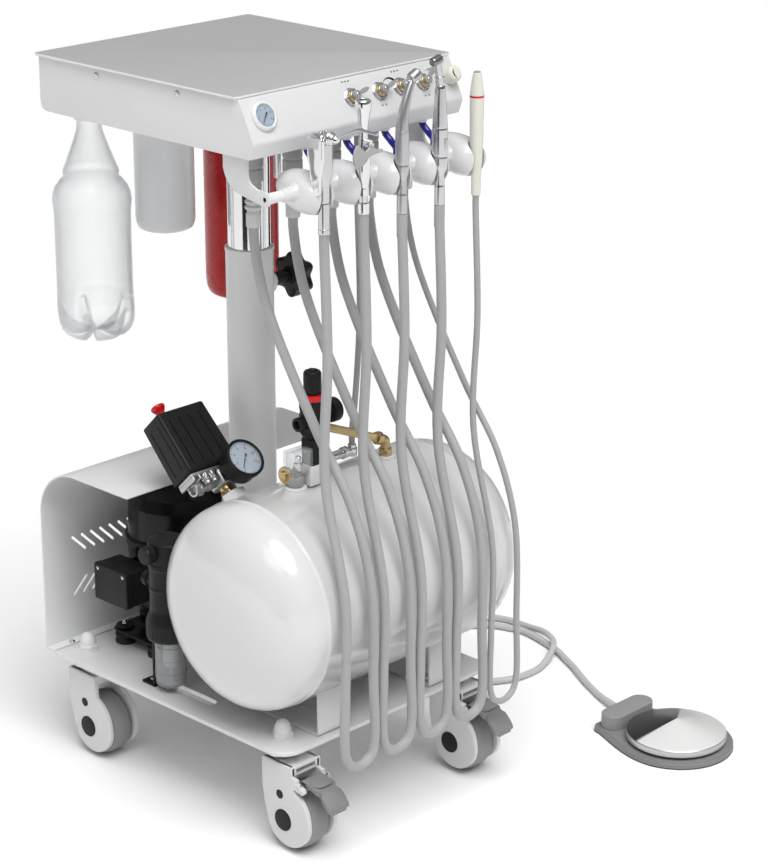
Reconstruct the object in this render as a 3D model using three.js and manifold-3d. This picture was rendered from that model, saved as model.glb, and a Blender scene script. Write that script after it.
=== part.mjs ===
// Portable dental unit on casters: compressor base with air tank, telescopic column,
// control box with bottles, five instruments in holders, and a foot control on the floor.
// Millimetres, +Z up, the operator stands on the -Y side.
import * as THREE from 'three';
import { mergeVertices } from 'three/addons/utils/BufferGeometryUtils.js';
import Module from 'manifold-3d';

const wasm = await Module();
wasm.setup();

// Clearances
const SEAT_GAP = 0.3;
const BORE_GAP = 0.6;

// Base plate and casters
const BASE_LENGTH = 335;
const BASE_DEPTH = 408;
const BASE_THICKNESS = 5;
const BASE_CORNER = 25;
const SLOT_WIDTH = 14;
const SLOT_LENGTH = 103;
const SLOT_INSET = 37.5;
const WHEEL_RADIUS = 37.5;
const WHEEL_WIDTH = 32.4;
const AXLE_RADIUS = 4;
const CHEEK_THICKNESS = 6;
const FORK_RISE = 67.2;
const CASTER_TRAIL = 22.5;
const CASTER_INSET_X = 33.5;
const CASTER_INSET_Y = 37;
const HUB_CAP_RADIUS = 12.8;
const COLLAR_RADIUS = 19;
const COLLAR_HEIGHT = 13;
const STEM_RADIUS = 6;
const CAP_NUT_RADIUS = 10;
const CAP_NUT_HEIGHT = 22;
const PEDAL_WIDTH = 30;
const PEDAL_REACH = 65;

// Air tank and its feet
const TANK_RADIUS = 117;
const TANK_LENGTH = 404;
const TANK_DOME = 62;
const TANK_RISE = 30;
const TANK_Y = -128;
const FOOT_WIDTH = 39;
const FOOT_SPACING = 177;
const FOOT_DEPTH = 138;
const SHEET = 3;
const REGULATOR_BOSS_X = -73;
const REGULATOR_BOSS_RADIUS = 12.5;
const ELBOW_BOSS_X = 67;
const ELBOW_BOSS_RADIUS = 10.5;
const BOSS_HEIGHT = 4;
const SWITCH_X = -87;
const SWITCH_TILT = 45;

// Compressor, rear hood and separator
const CANISTER_X = 90;
const CANISTER_Y = 68;
const CANISTER_HEIGHT = 190;
const CANISTER_SETBACK = 80;
const GROMMET_HEIGHT = 16;
const GROMMET_RADIUS = 12;
const HOOD_TOP = 233;
const HOOD_DEPTH = 158;
const HOOD_BEND = 62;
const VENT_COUNT = 17;
const VENT_PITCH = 14.2;
const VENT_WIDTH = 3.2;
const VENT_RISE = 21;
const VENT_ROWS = [[120, 1], [66, -1]];
const SEPARATOR_X = -139;
const SEPARATOR_Y = 12;
const BOWL_RADIUS = 19;
const BOWL_HEIGHT = 65;
const BELL_RADIUS = 27;
const SEPARATOR_HEIGHT = 124;

// Column and its clamp
const COLUMN_RADIUS = 27;
const COLUMN_HEIGHT = 497;
const MAST_RADIUS = 24;
const MAST_OVERLAP = 220;
const CLAMP_DROP = 47;
const CLAMP_BOSS_RADIUS = 9;
const CLAMP_BOSS_REACH = 30;
const STAR_RADIUS = 27;
const STAR_THICKNESS = 17;
const STAR_LOBES = 6;

// Regulator group on the tank
const FITTING_HEIGHT = 16;
const CUBE = [28, 19, 25];
const BODY_RADIUS = 15;
const BODY_HEIGHT = 42;
const REGULATOR_X = -46;
const KNOB_RADIUS = 10.3;
const KNOB_HEIGHT = 27;
const RING_HEIGHT = 9;
const GAUGE_RADIUS = 23.5;
const GAUGE_DEPTH = 25;

// Control box
const CASE_WIDTH = 312;
const CASE_DEPTH = 344;
const CASE_BOTTOM = 773;
const CASE_HEIGHT = 60.7;
const CASE_FRONT = -160;
const CASE_BEND_HEIGHT = 17;
const PANEL_SETBACK = 22;
const LID_WIDTH = 320;
const LID_OVERHANG = 4;
const LID_THICKNESS = 3;
const PANEL_GAUGE_X = -132;
const PANEL_GAUGE_RADIUS = 18;
const VALVE_XS = [-4.5, 37.4, 69.5, 103.6];
const VALVE_RADIUS = 5.5;
const FLOW_KNOB_X = 144.6;
const FLOW_KNOB_RADIUS = 9.5;
const FLOW_KNOB_HEIGHT = 14;

// Holders, instruments and their hoses
const HOLDER_COUNT = 5;
const HOLDER_PITCH = 58;
const HOLDER_RADIUS = 22;
const HOLDER_LENGTH = 78;
const HOLDER_Y = -166;
const HOLDER_DROP = 40;
const HOLDER_TILT = 8;
const RAIL_RADIUS = 5.75;
const INSTRUMENT_REACH = 25;
const INSTRUMENT_HOLE = 10.4;
const HOLDER_SLOT = 12;
const RELIEF_Y = -84;
const RELIEF_LENGTH = 95;
const RELIEF_RADIUS = 11;
const HOSE_RADIUS = 5.5;
const SCALER_HOSE_RADIUS = 3.6;
const BLUE_TUBE_RADIUS = 4.2;
const SUPPLY_HOSE_RADIUS = 3.5;
const PEDAL_HOSE_RADIUS = 4;

// Bottles under the control box
const PET_RADIUS = 43;
const PET_LENGTH = 241;
const PET_XY = [38 - CASE_WIDTH / 2, 148];
const RED_RADIUS = 43;
const RED_LENGTH = 225;
const RED_XY = [CASE_WIDTH / 2 - 81, 113];
const FROSTED_RADIUS = 34;
const FROSTED_LENGTH = 137;
const FROSTED_XY = [-35, 120];
const BOTTLE_CAP_RADIUS = 17;
const BOTTLE_CAP_HEIGHT = 10;

// Foot control
const FOOT_XY = [352.5, -336];
const DISC_RADIUS = 60;
const DISC_RIM = 10;
const DISC_CROWN = 14;
const FOOT_BASE_RADIUS = 68;
const FOOT_BASE_HEIGHT = 7;
const FOOT_BASE_LENGTH = 96;
const FOOT_TAIL_WIDTH = 82;
const HEEL_LENGTH = 80;
const HEEL_WIDTH = 30;
const HEEL_HEIGHT = 22;
const PEDAL_TRAVEL = 3;
const HEEL_GAP = 1;
const WELL_FLOOR = 1.5;
const NECK_RADIUS = 7;
const NECK_LENGTH = 15.3;
const NECK_START = [8.2, 90];
const NECK_HEIGHT = 9;
const NECK_SLANT = 24 * (Math.PI / 180);

// Heights and places that follow from the sizes above
const CANISTER_CENTRE_Y = BASE_DEPTH / 2 - CANISTER_SETBACK;
const COLUMN_Y = BASE_DEPTH / 2 - HOOD_DEPTH - COLUMN_RADIUS;
const FORK_TOP = WHEEL_RADIUS + FORK_RISE;
const FORK_WIDTH = WHEEL_WIDTH + 2 * SEAT_GAP + 2 * CHEEK_THICKNESS;
const BASE_BOTTOM = FORK_TOP + SEAT_GAP + COLLAR_HEIGHT;
const BASE_TOP = BASE_BOTTOM + BASE_THICKNESS;
const FLOOR_OF_BASE = BASE_TOP + SEAT_GAP;
const SWIVEL_X = BASE_LENGTH / 2 - CASTER_INSET_X;
const SWIVEL_Y = BASE_DEPTH / 2 - CASTER_INSET_Y;
const TANK_Z = BASE_TOP + TANK_RISE + TANK_RADIUS;
const TANK_TOP = TANK_Z + TANK_RADIUS;
const COLUMN_TOP = BASE_TOP + COLUMN_HEIGHT;
const CLAMP_Z = COLUMN_TOP - CLAMP_DROP;
const MAST_BOTTOM = COLUMN_TOP - MAST_OVERLAP;
const CASE_TOP = CASE_BOTTOM + CASE_HEIGHT;
const CASE_BACK = CASE_FRONT + CASE_DEPTH;
const UNDER_CASE = CASE_BOTTOM - SEAT_GAP;
const PANEL_TOP_Y = CASE_FRONT + PANEL_SETBACK;
const PANEL_SLOPE = Math.atan2(PANEL_SETBACK, CASE_HEIGHT - CASE_BEND_HEIGHT);
const PANEL_MIDDLE = 0.55;
const LID_BOTTOM = CASE_TOP + SEAT_GAP;
const RAIL_Z = CASE_BOTTOM - HOLDER_DROP;
const INSTRUMENT_Y = HOLDER_Y - INSTRUMENT_REACH;
const SWITCH_SHOULDER = THREE.MathUtils.degToRad(SWITCH_TILT);
const SWITCH_AT = [
  SWITCH_X,
  TANK_Y + TANK_RADIUS * Math.sin(SWITCH_SHOULDER),
  TANK_Z + TANK_RADIUS * Math.cos(SWITCH_SHOULDER),
];
const holderX = (index) => (index - (HOLDER_COUNT - 1) / 2) * HOLDER_PITCH + 28;

// Finishes
const finish = (colour, roughness, metalness = 0) =>
  new THREE.MeshStandardMaterial({ color: colour, roughness, metalness });
const LIGHT_GREY = finish(0xd9dadc, 0.5);
const SATIN_GREY = finish(0xa9adb1, 0.4);
const WHITE_GLOSS = finish(0xf2f2f0, 0.2);
const CREAM = finish(0xe8e0c8, 0.4);
const BLACK = finish(0x1c1c1e, 0.5);
const STEEL = finish(0xb9bbbd, 0.3, 1);
const CHROME = finish(0xd4d6d8, 0.15, 1);
const RED = finish(0xb3161c, 0.4);
const HOSE_GREY = finish(0x9c9ea0, 0.6);
const WHEEL_GREY = finish(0x8f9194, 0.6);
const CLEAR = finish(0xdfe6e8, 0.1);
const FROSTED = finish(0xe6e8ea, 0.5);

// Solids: closed geometry in, joined or cut geometry out
function solid(geometry) {
  const bare = geometry.index ? geometry.toNonIndexed() : geometry.clone();
  bare.deleteAttribute('normal');
  bare.deleteAttribute('uv');
  const merged = mergeVertices(bare, 1e-3);
  const index = merged.index.array;
  const faces = [];
  for (let i = 0; i < index.length; i += 3) {
    const [a, b, c] = [index[i], index[i + 1], index[i + 2]];
    if (a !== b && b !== c && c !== a) faces.push(a, b, c);
  }
  return new wasm.Manifold(new wasm.Mesh({
    numProp: 3,
    vertProperties: new Float32Array(merged.attributes.position.array),
    triVerts: new Uint32Array(faces),
  }));
}

function geometryOf(body) {
  const mesh = body.getMesh();
  const geometry = new THREE.BufferGeometry();
  geometry.setAttribute('position', new THREE.BufferAttribute(mesh.vertProperties, 3));
  geometry.setIndex(new THREE.BufferAttribute(mesh.triVerts, 1));
  geometry.computeVertexNormals();
  return geometry;
}

function join(...parts) {
  return geometryOf(parts.map(solid).reduce((whole, part) => whole.add(part)));
}

function cut(part, ...tools) {
  return geometryOf(tools.map(solid).reduce((rest, tool) => rest.subtract(tool), solid(part)));
}

// Plain shapes in the unit's own frame
function box(x0, x1, y0, y1, z0, z1) {
  const geometry = new THREE.BoxGeometry(x1 - x0, y1 - y0, z1 - z0);
  return geometry.translate((x0 + x1) / 2, (y0 + y1) / 2, (z0 + z1) / 2);
}

// A revolved solid on +Z from [radius, height] pairs, closed to the axis at both ends
function turned(profile, sides = 20) {
  const first = profile[0];
  const last = profile[profile.length - 1];
  const points = [[0, first[1]], ...profile, [0, last[1]]]
    .filter(([radius, height], i, all) => i === 0 || radius !== all[i - 1][0] || height !== all[i - 1][1])
    .map(([radius, height]) => new THREE.Vector2(radius, height));
  return new THREE.LatheGeometry(points, sides).rotateX(Math.PI / 2).applyMatrix4(
    new THREE.Matrix4().makeRotationZ(Math.PI / sides));
}

const rod = (radius, from, to, sides = 20) => turned([[radius, from], [radius, to]], sides);

// Turns a shape that stands on +Z to lie along another axis, then moves it
const AXIS_TURNS = { x: [0, Math.PI / 2, 0], y: [-Math.PI / 2, 0, 0], '-y': [Math.PI / 2, 0, 0], z: [0, 0, 0] };
function along(geometry, axis, at = [0, 0, 0]) {
  const turn = new THREE.Euler(...AXIS_TURNS[axis]);
  return geometry.applyMatrix4(new THREE.Matrix4().makeRotationFromEuler(turn)).translate(...at);
}

function outline(points) {
  return new THREE.Shape(points.map(([a, b]) => new THREE.Vector2(a, b)));
}

// A flat shape drawn in Y and Z, given a thickness along X
function sideSheet(shape, x0, x1) {
  const geometry = new THREE.ExtrudeGeometry(shape, { depth: x1 - x0, bevelEnabled: false, curveSegments: 3 });
  const turn = new THREE.Matrix4().makeBasis(
    new THREE.Vector3(0, 1, 0), new THREE.Vector3(0, 0, 1), new THREE.Vector3(1, 0, 0));
  return geometry.applyMatrix4(turn).translate(x0, 0, 0);
}

// A flat shape drawn in X and Y, given a thickness along Z
function plate(shape, z0, z1, curveSegments = 5) {
  return new THREE.ExtrudeGeometry(shape, { depth: z1 - z0, bevelEnabled: false, curveSegments })
    .translate(0, 0, z0);
}

function roundedRectangle(width, depth, corner, x = 0, y = 0) {
  const [x0, x1, y0, y1] = [x - width / 2, x + width / 2, y - depth / 2, y + depth / 2];
  const shape = new THREE.Shape();
  shape.moveTo(x0 + corner, y0);
  shape.lineTo(x1 - corner, y0);
  shape.absarc(x1 - corner, y0 + corner, corner, -Math.PI / 2, 0);
  shape.lineTo(x1, y1 - corner);
  shape.absarc(x1 - corner, y1 - corner, corner, 0, Math.PI / 2);
  shape.lineTo(x0 + corner, y1);
  shape.absarc(x0 + corner, y1 - corner, corner, Math.PI / 2, Math.PI);
  shape.lineTo(x0, y0 + corner);
  shape.absarc(x0 + corner, y0 + corner, corner, Math.PI, Math.PI * 1.5);
  return shape;
}

// A hose of one radius along hand-chosen points
function hose(points, radius, steps, sides = 8) {
  const path = new THREE.CatmullRomCurve3(points.map((p) => new THREE.Vector3(...p)), false, 'centripetal');
  const section = new THREE.Shape();
  for (let i = 0; i < sides; i += 1) {
    const angle = (2 * Math.PI * i) / sides;
    const [a, b] = [radius * Math.cos(angle), radius * Math.sin(angle)];
    if (i === 0) section.moveTo(a, b);
    else section.lineTo(a, b);
  }
  section.closePath();
  return new THREE.ExtrudeGeometry(section, { steps, bevelEnabled: false, extrudePath: path });
}

const unit = new THREE.Group();
const cart = new THREE.Group();
const upper = new THREE.Group();
unit.add(cart);
cart.add(upper);

function piece(name, geometry, material, at = [0, 0, 0], parent = cart) {
  const mesh = new THREE.Mesh(geometry, material);
  mesh.name = name;
  mesh.position.set(...at);
  parent.add(mesh);
  return mesh;
}

// Base plate with four swivel collars, stems and domed cap nuts
function basePlate() {
  const shape = roundedRectangle(BASE_LENGTH, BASE_DEPTH, BASE_CORNER);
  const slot = roundedRectangle(SLOT_WIDTH, SLOT_LENGTH, SLOT_WIDTH / 2, SLOT_INSET - BASE_LENGTH / 2);
  shape.holes.push(new THREE.Path(slot.getPoints(3).reverse()));
  const parts = [plate(shape, BASE_BOTTOM, BASE_TOP)];
  for (const [sx, sy] of CORNERS) {
    const nut = [
      [STEM_RADIUS, BASE_BOTTOM - COLLAR_HEIGHT - FORK_BRIDGE],
      [STEM_RADIUS, BASE_BOTTOM - COLLAR_HEIGHT],
      [COLLAR_RADIUS, BASE_BOTTOM - COLLAR_HEIGHT],
      [COLLAR_RADIUS, BASE_BOTTOM + 1],
      [CAP_NUT_RADIUS, BASE_BOTTOM + 1],
      [CAP_NUT_RADIUS, BASE_TOP + CAP_NUT_HEIGHT * 0.6],
      [CAP_NUT_RADIUS * 0.5, BASE_TOP + CAP_NUT_HEIGHT],
    ];
    parts.push(turned(nut, 8).translate(sx * SWIVEL_X, sy * SWIVEL_Y, 0));
  }
  parts.push(rod(GLAND_RADIUS, BASE_BOTTOM - GLAND_LENGTH, BASE_BOTTOM + 1, 12)
    .translate(...PEDAL_GLAND, 0));
  return join(...parts);
}

const CORNERS = [[-1, -1], [1, -1], [-1, 1], [1, 1]];
const CORNER_NAMES = ['front_left', 'front_right', 'rear_left', 'rear_right'];
const FORK_BRIDGE = 12;
const GLAND_RADIUS = 8;
const GLAND_LENGTH = 16;
const PEDAL_GLAND = [70, 0];
piece('base_plate', basePlate(), LIGHT_GREY);

// Caster fork about its swivel axis: two cheeks, a bridge with the stem's bore, an axle
function casterFork(braked) {
  const half = FORK_WIDTH / 2;
  const trail = -CASTER_TRAIL;
  const top = FORK_TOP;
  const cheek = new THREE.Shape();
  cheek.moveTo(trail + 33.5, top);
  cheek.lineTo(trail + 33, 70);
  cheek.bezierCurveTo(trail + 30, 45, trail + 22, 17, trail + 13, 14);
  cheek.bezierCurveTo(trail + 4, 6, trail - 10, 6, trail - 18, 9);
  cheek.bezierCurveTo(trail - 30, 14, trail - 42, 26, trail - 40, 42);
  cheek.bezierCurveTo(trail - 38, 62, trail - 30, 76, trail - 14, 78);
  cheek.lineTo(trail - 13.5, top);
  cheek.closePath();
  const parts = [
    sideSheet(cheek, -half, CHEEK_THICKNESS - half),
    sideSheet(cheek, half - CHEEK_THICKNESS, half),
    box(-half + 1, half - 1, trail - 13.5, trail + 33.5, top - FORK_BRIDGE, top),
    along(rod(AXLE_RADIUS, -half, half, 8), 'x', [0, trail, WHEEL_RADIUS]),
    along(rod(HUB_CAP_RADIUS, -half - 3, -half + 1, 8), 'x', [0, trail, WHEEL_RADIUS]),
    along(rod(HUB_CAP_RADIUS, half - 1, half + 3, 8), 'x', [0, trail, WHEEL_RADIUS]),
  ];
  if (braked) {
    parts.push(box(-half, -half + CHEEK_THICKNESS, trail - 32, trail - 10, 66, 92));
    parts.push(box(half - CHEEK_THICKNESS, half, trail - 32, trail - 10, 66, 92));
    parts.push(along(rod(BRAKE_PIN, -half + 1, half - 1, 10), 'x', [0, trail - BRAKE_FORWARD, BRAKE_Z]));
  }
  return cut(join(...parts), rod(STEM_RADIUS + BORE_GAP, top - FORK_BRIDGE - 1, top + 1, 8));
}

const BRAKE_PIN = 3;
const BRAKE_FORWARD = 24;
const BRAKE_Z = 84;

// Wheel about its axle: soft tread, recessed web and a hub, bored for the axle
function casterWheel() {
  const half = WHEEL_WIDTH / 2;
  const tread = half - 3;
  const profile = [
    [AXLE_RADIUS + BORE_GAP, -half],
    [11, -half],
    [12, -tread + 5],
    [WHEEL_RADIUS - 10, -tread + 4],
    [WHEEL_RADIUS - 8, -tread],
    [WHEEL_RADIUS, -tread + 4],
    [WHEEL_RADIUS, tread - 4],
    [WHEEL_RADIUS - 8, tread],
    [WHEEL_RADIUS - 10, tread - 4],
    [12, tread - 5],
    [11, half],
    [AXLE_RADIUS + BORE_GAP, half],
    [AXLE_RADIUS + BORE_GAP, -half],
  ];
  const points = profile.map(([radius, height]) => new THREE.Vector2(radius, height));
  return new THREE.LatheGeometry(points, 14).rotateZ(-Math.PI / 2);
}

// Brake pedal about its pin: a barrel round the pin and a plate that slopes forward
function brakePedal() {
  const reach = CASTER_TRAIL + PEDAL_REACH - (CASTER_TRAIL + BRAKE_FORWARD);
  const side = new THREE.Shape();
  side.moveTo(3, 6.5);
  side.quadraticCurveTo(-reach * 0.55, 7, -reach, -14);
  side.quadraticCurveTo(-reach - 3, -21, -reach + 3, -20);
  side.quadraticCurveTo(-reach * 0.55, -1, 3, 0.5);
  side.closePath();
  const barrel = along(rod(6.5, -PEDAL_WIDTH / 2, PEDAL_WIDTH / 2, 14), 'x');
  const pin = along(rod(BRAKE_PIN + BORE_GAP, -PEDAL_WIDTH, PEDAL_WIDTH, 14), 'x');
  return cut(join(barrel, sideSheet(side, -PEDAL_WIDTH / 2, PEDAL_WIDTH / 2)), pin);
}

CORNERS.forEach(([sx, sy], i) => {
  const caster = new THREE.Group();
  caster.position.set(sx * SWIVEL_X, sy * SWIVEL_Y, 0);
  cart.add(caster);
  const braked = sy < 0;
  piece(`caster_fork_${CORNER_NAMES[i]}`, casterFork(braked), LIGHT_GREY, [0, 0, 0], caster);
  piece(`caster_wheel_${CORNER_NAMES[i]}`, casterWheel(), WHEEL_GREY, [0, -CASTER_TRAIL, WHEEL_RADIUS], caster);
  if (braked) {
    piece(`brake_pedal_${CORNER_NAMES[i]}`, brakePedal(), WHEEL_GREY,
      [0, -CASTER_TRAIL - BRAKE_FORWARD, BRAKE_Z], caster);
  }
});

// Air tank along X with domed ends, three bosses and two channel feet welded under it
function airTank() {
  const half = TANK_LENGTH / 2;
  const steps = 5;
  const domeEnd = [];
  for (let i = 0; i <= steps; i += 1) {
    const angle = (i / steps) * (Math.PI / 2);
    const radius = TANK_RADIUS * Math.sin(angle) ** 0.87;
    const height = half - TANK_DOME + TANK_DOME * Math.cos(angle) ** 0.87;
    domeEnd.push([radius, height]);
  }
  const lower = domeEnd.map(([radius, height]) => [radius, -height]);
  const profile = [...lower, ...domeEnd.reverse()].map(([r, h]) => [r < 0.01 ? 0 : r, h]);
  const shell = along(turned(profile, 22), 'x', [0, TANK_Y, TANK_Z]);
  const parts = [shell];
  const webs = [-FOOT_DEPTH / 2, FOOT_DEPTH / 2 - SHEET];
  const webTop = TANK_Z - Math.sqrt(TANK_RADIUS ** 2 - (FOOT_DEPTH / 2) ** 2) + 6;
  for (const side of [-1, 1]) {
    const middle = (side * FOOT_SPACING) / 2;
    const [x0, x1] = [middle - FOOT_WIDTH / 2, middle + FOOT_WIDTH / 2];
    parts.push(box(x0, x1, TANK_Y - FOOT_DEPTH / 2, TANK_Y + FOOT_DEPTH / 2, FLOOR_OF_BASE, FLOOR_OF_BASE + SHEET));
    for (const web of webs) {
      parts.push(box(x0, x1, TANK_Y + web, TANK_Y + web + SHEET, FLOOR_OF_BASE, webTop));
    }
  }
  for (const [x, radius] of [[REGULATOR_BOSS_X, REGULATOR_BOSS_RADIUS], [ELBOW_BOSS_X, ELBOW_BOSS_RADIUS]]) {
    parts.push(rod(radius, TANK_TOP - 8, TANK_TOP + BOSS_HEIGHT, 18).translate(x, TANK_Y, 0));
  }
  parts.push(tilted(rod(14, -6, SWITCH_BOSS_HEIGHT, 6)));
  return join(...parts);
}

const SWITCH_BOSS_HEIGHT = 7;

// Places a shape of the switch group, which leans back from the tank's shoulder
function tilted(geometry) {
  return geometry.rotateX(-SWITCH_SHOULDER).translate(...SWITCH_AT);
}

piece('air_tank', airTank(), WHITE_GLOSS);

// Pressure switch: brass nut and die-cast manifold, its cover, the knob and the gauge
function switchManifold() {
  return join(
    tilted(rod(11, SWITCH_BOSS_HEIGHT + SEAT_GAP, 17, 6)),
    tilted(rod(8, 10, 38, 12)),
    tilted(box(-14, 14, -14, 14, 17, 38)),
    tilted(along(rod(7, 12, 30, 12), 'x', [0, 4, 27])),
    tilted(along(rod(7, -44, -12, 12), 'x', [0, 4, 27])),
    tilted(along(rod(5, 12, GAUGE_BACK - SEAT_GAP, 10), '-y', [GAUGE_X, 0, 27])),
    tilted(box(-52, 8, -16, 16, 36, SWITCH_COVER_Z - SEAT_GAP)),
  );
}

const GAUGE_X = 5;
const GAUGE_BACK = 20.5;
const SWITCH_COVER_Z = 40;
const SWITCH_COVER_HEIGHT = 73;
const SWITCH_KNOB_X = -38;
piece('switch_manifold', switchManifold(), STEEL);

function switchCover() {
  const shape = roundedRectangle(70, 40, 4, -22, 0);
  const body = new THREE.ExtrudeGeometry(shape, {
    depth: SWITCH_COVER_HEIGHT - 4, bevelThickness: 4, bevelSize: 4, bevelOffset: -4, bevelSegments: 1,
    curveSegments: 1,
  });
  const lowered = body.translate(0, 0, SWITCH_COVER_Z);
  const foot = box(-80, 40, -40, 40, SWITCH_COVER_Z - 20, SWITCH_COVER_Z);
  const socket = rod(9, SWITCH_COVER_Z + SWITCH_COVER_HEIGHT - 3, SWITCH_COVER_Z + SWITCH_COVER_HEIGHT + 5, 12)
    .translate(SWITCH_KNOB_X, 0, 0);
  return tilted(cut(lowered, foot, socket));
}

piece('switch_cover', switchCover(), BLACK);

function switchKnob() {
  const floor = SWITCH_COVER_Z + SWITCH_COVER_HEIGHT - 3 + SEAT_GAP;
  const profile = [[4, floor], [4, floor + 7], [7, floor + 8], [7.6, floor + 12], [5, floor + 16]];
  return tilted(turned(profile, 14).translate(SWITCH_KNOB_X, 0, 0));
}

piece('switch_knob', switchKnob(), RED);

function tankGauge() {
  const dial = [
    [GAUGE_RADIUS - 2.5, GAUGE_BACK],
    [GAUGE_RADIUS - 2.5, GAUGE_BACK + GAUGE_DEPTH - 6],
    [GAUGE_RADIUS, GAUGE_BACK + GAUGE_DEPTH - 6],
    [GAUGE_RADIUS, GAUGE_BACK + GAUGE_DEPTH],
    [GAUGE_RADIUS - 2.5, GAUGE_BACK + GAUGE_DEPTH],
    [GAUGE_RADIUS - 3, GAUGE_BACK + GAUGE_DEPTH - 2],
  ];
  return tilted(along(turned(dial, 16), '-y', [GAUGE_X, 0, 27]));
}

piece('tank_gauge', tankGauge(), BLACK);

// Regulator group: brass and steel base on two tank bosses, then the filter body and knob
const BLOCK_Z = TANK_TOP + BOSS_HEIGHT + SEAT_GAP;
const CUBE_Z = BLOCK_Z + FITTING_HEIGHT;
const CARRIER_Z = CUBE_Z + CUBE[2];
const REGULATOR_Z = CARRIER_Z + 8;
const PIPE_X = REGULATOR_X + 78;
const PIPE_Y = TANK_Y + 18;
const PIPE_Z = BLOCK_Z + 10;

function regulatorBlock() {
  const barFrom = new THREE.Vector3(REGULATOR_X + 20, TANK_Y, CARRIER_Z + 4);
  const barTo = new THREE.Vector3(ELBOW_BOSS_X, TANK_Y, BLOCK_Z + 19);
  const bar = new THREE.BoxGeometry(barFrom.distanceTo(barTo), 11, 11)
    .rotateY(Math.atan2(barFrom.z - barTo.z, barTo.x - barFrom.x))
    .translate(...barFrom.clone().lerp(barTo, 0.5).toArray());
  return join(
    rod(9, BLOCK_Z, CUBE_Z + 1, 6).translate(REGULATOR_BOSS_X, TANK_Y, 0),
    box(REGULATOR_BOSS_X - 10, REGULATOR_BOSS_X + CUBE[0] - 10, TANK_Y - CUBE[1] / 2, TANK_Y + CUBE[1] / 2,
      CUBE_Z, CARRIER_Z + 0.5),
    box(REGULATOR_BOSS_X - 8, REGULATOR_X + 22, TANK_Y - 12, TANK_Y + 12, CARRIER_Z, REGULATOR_Z),
    bar,
    rod(8, BLOCK_Z, BLOCK_Z + 24, 8).translate(ELBOW_BOSS_X, TANK_Y, 0),
    box(REGULATOR_X - 5, REGULATOR_X + 15, TANK_Y - 13, TANK_Y + 12, BLOCK_Z, BLOCK_Z + 20),
    box(REGULATOR_X - 5, REGULATOR_X + 15, TANK_Y - 8, TANK_Y + 8, BLOCK_Z + 18, CARRIER_Z + 1),
    along(rod(4.5, 4, PIPE_X - REGULATOR_X - 4, 10), 'x', [REGULATOR_X, PIPE_Y, PIPE_Z]),
    box(REGULATOR_X + 4, REGULATOR_X + 12, TANK_Y, PIPE_Y + 4, PIPE_Z - 5, PIPE_Z + 5),
    rod(6, PIPE_Z - 6, PIPE_Z + 7, 10).translate(PIPE_X, PIPE_Y, 0),
  );
}

piece('regulator_block', regulatorBlock(), STEEL);

function regulatorBody() {
  const floor = REGULATOR_Z + SEAT_GAP;
  return join(
    turned([[BODY_RADIUS - 4, floor], [BODY_RADIUS, floor + 6], [BODY_RADIUS, floor + BODY_HEIGHT]], 18)
      .translate(REGULATOR_X, TANK_Y, 0),
    along(rod(8, 0, BODY_RADIUS + 9, 12), 'x', [REGULATOR_X - BODY_RADIUS - 9, TANK_Y, floor + 20]),
    rod(BODY_RADIUS + 0.6, floor + BODY_HEIGHT - 1, floor + BODY_HEIGHT + RING_HEIGHT, 18)
      .translate(REGULATOR_X, TANK_Y, 0),
  );
}

piece('regulator_body', regulatorBody(), BLACK);

function regulatorKnob() {
  const shape = lobed(KNOB_RADIUS, 0.5, 12, 36);
  return plate(shape, 0, KNOB_HEIGHT);
}

// A knob outline with rounded lobes round its rim
function lobed(radius, depth, lobes, count) {
  const points = [];
  for (let i = 0; i < count; i += 1) {
    const angle = (2 * Math.PI * i) / count;
    const reach = radius - depth * (1 - Math.cos(lobes * angle));
    points.push([reach * Math.cos(angle), reach * Math.sin(angle)]);
  }
  return outline(points);
}

piece('regulator_knob', regulatorKnob(), BLACK,
  [REGULATOR_X, TANK_Y, REGULATOR_Z + SEAT_GAP + BODY_HEIGHT + RING_HEIGHT + SEAT_GAP]);

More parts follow.
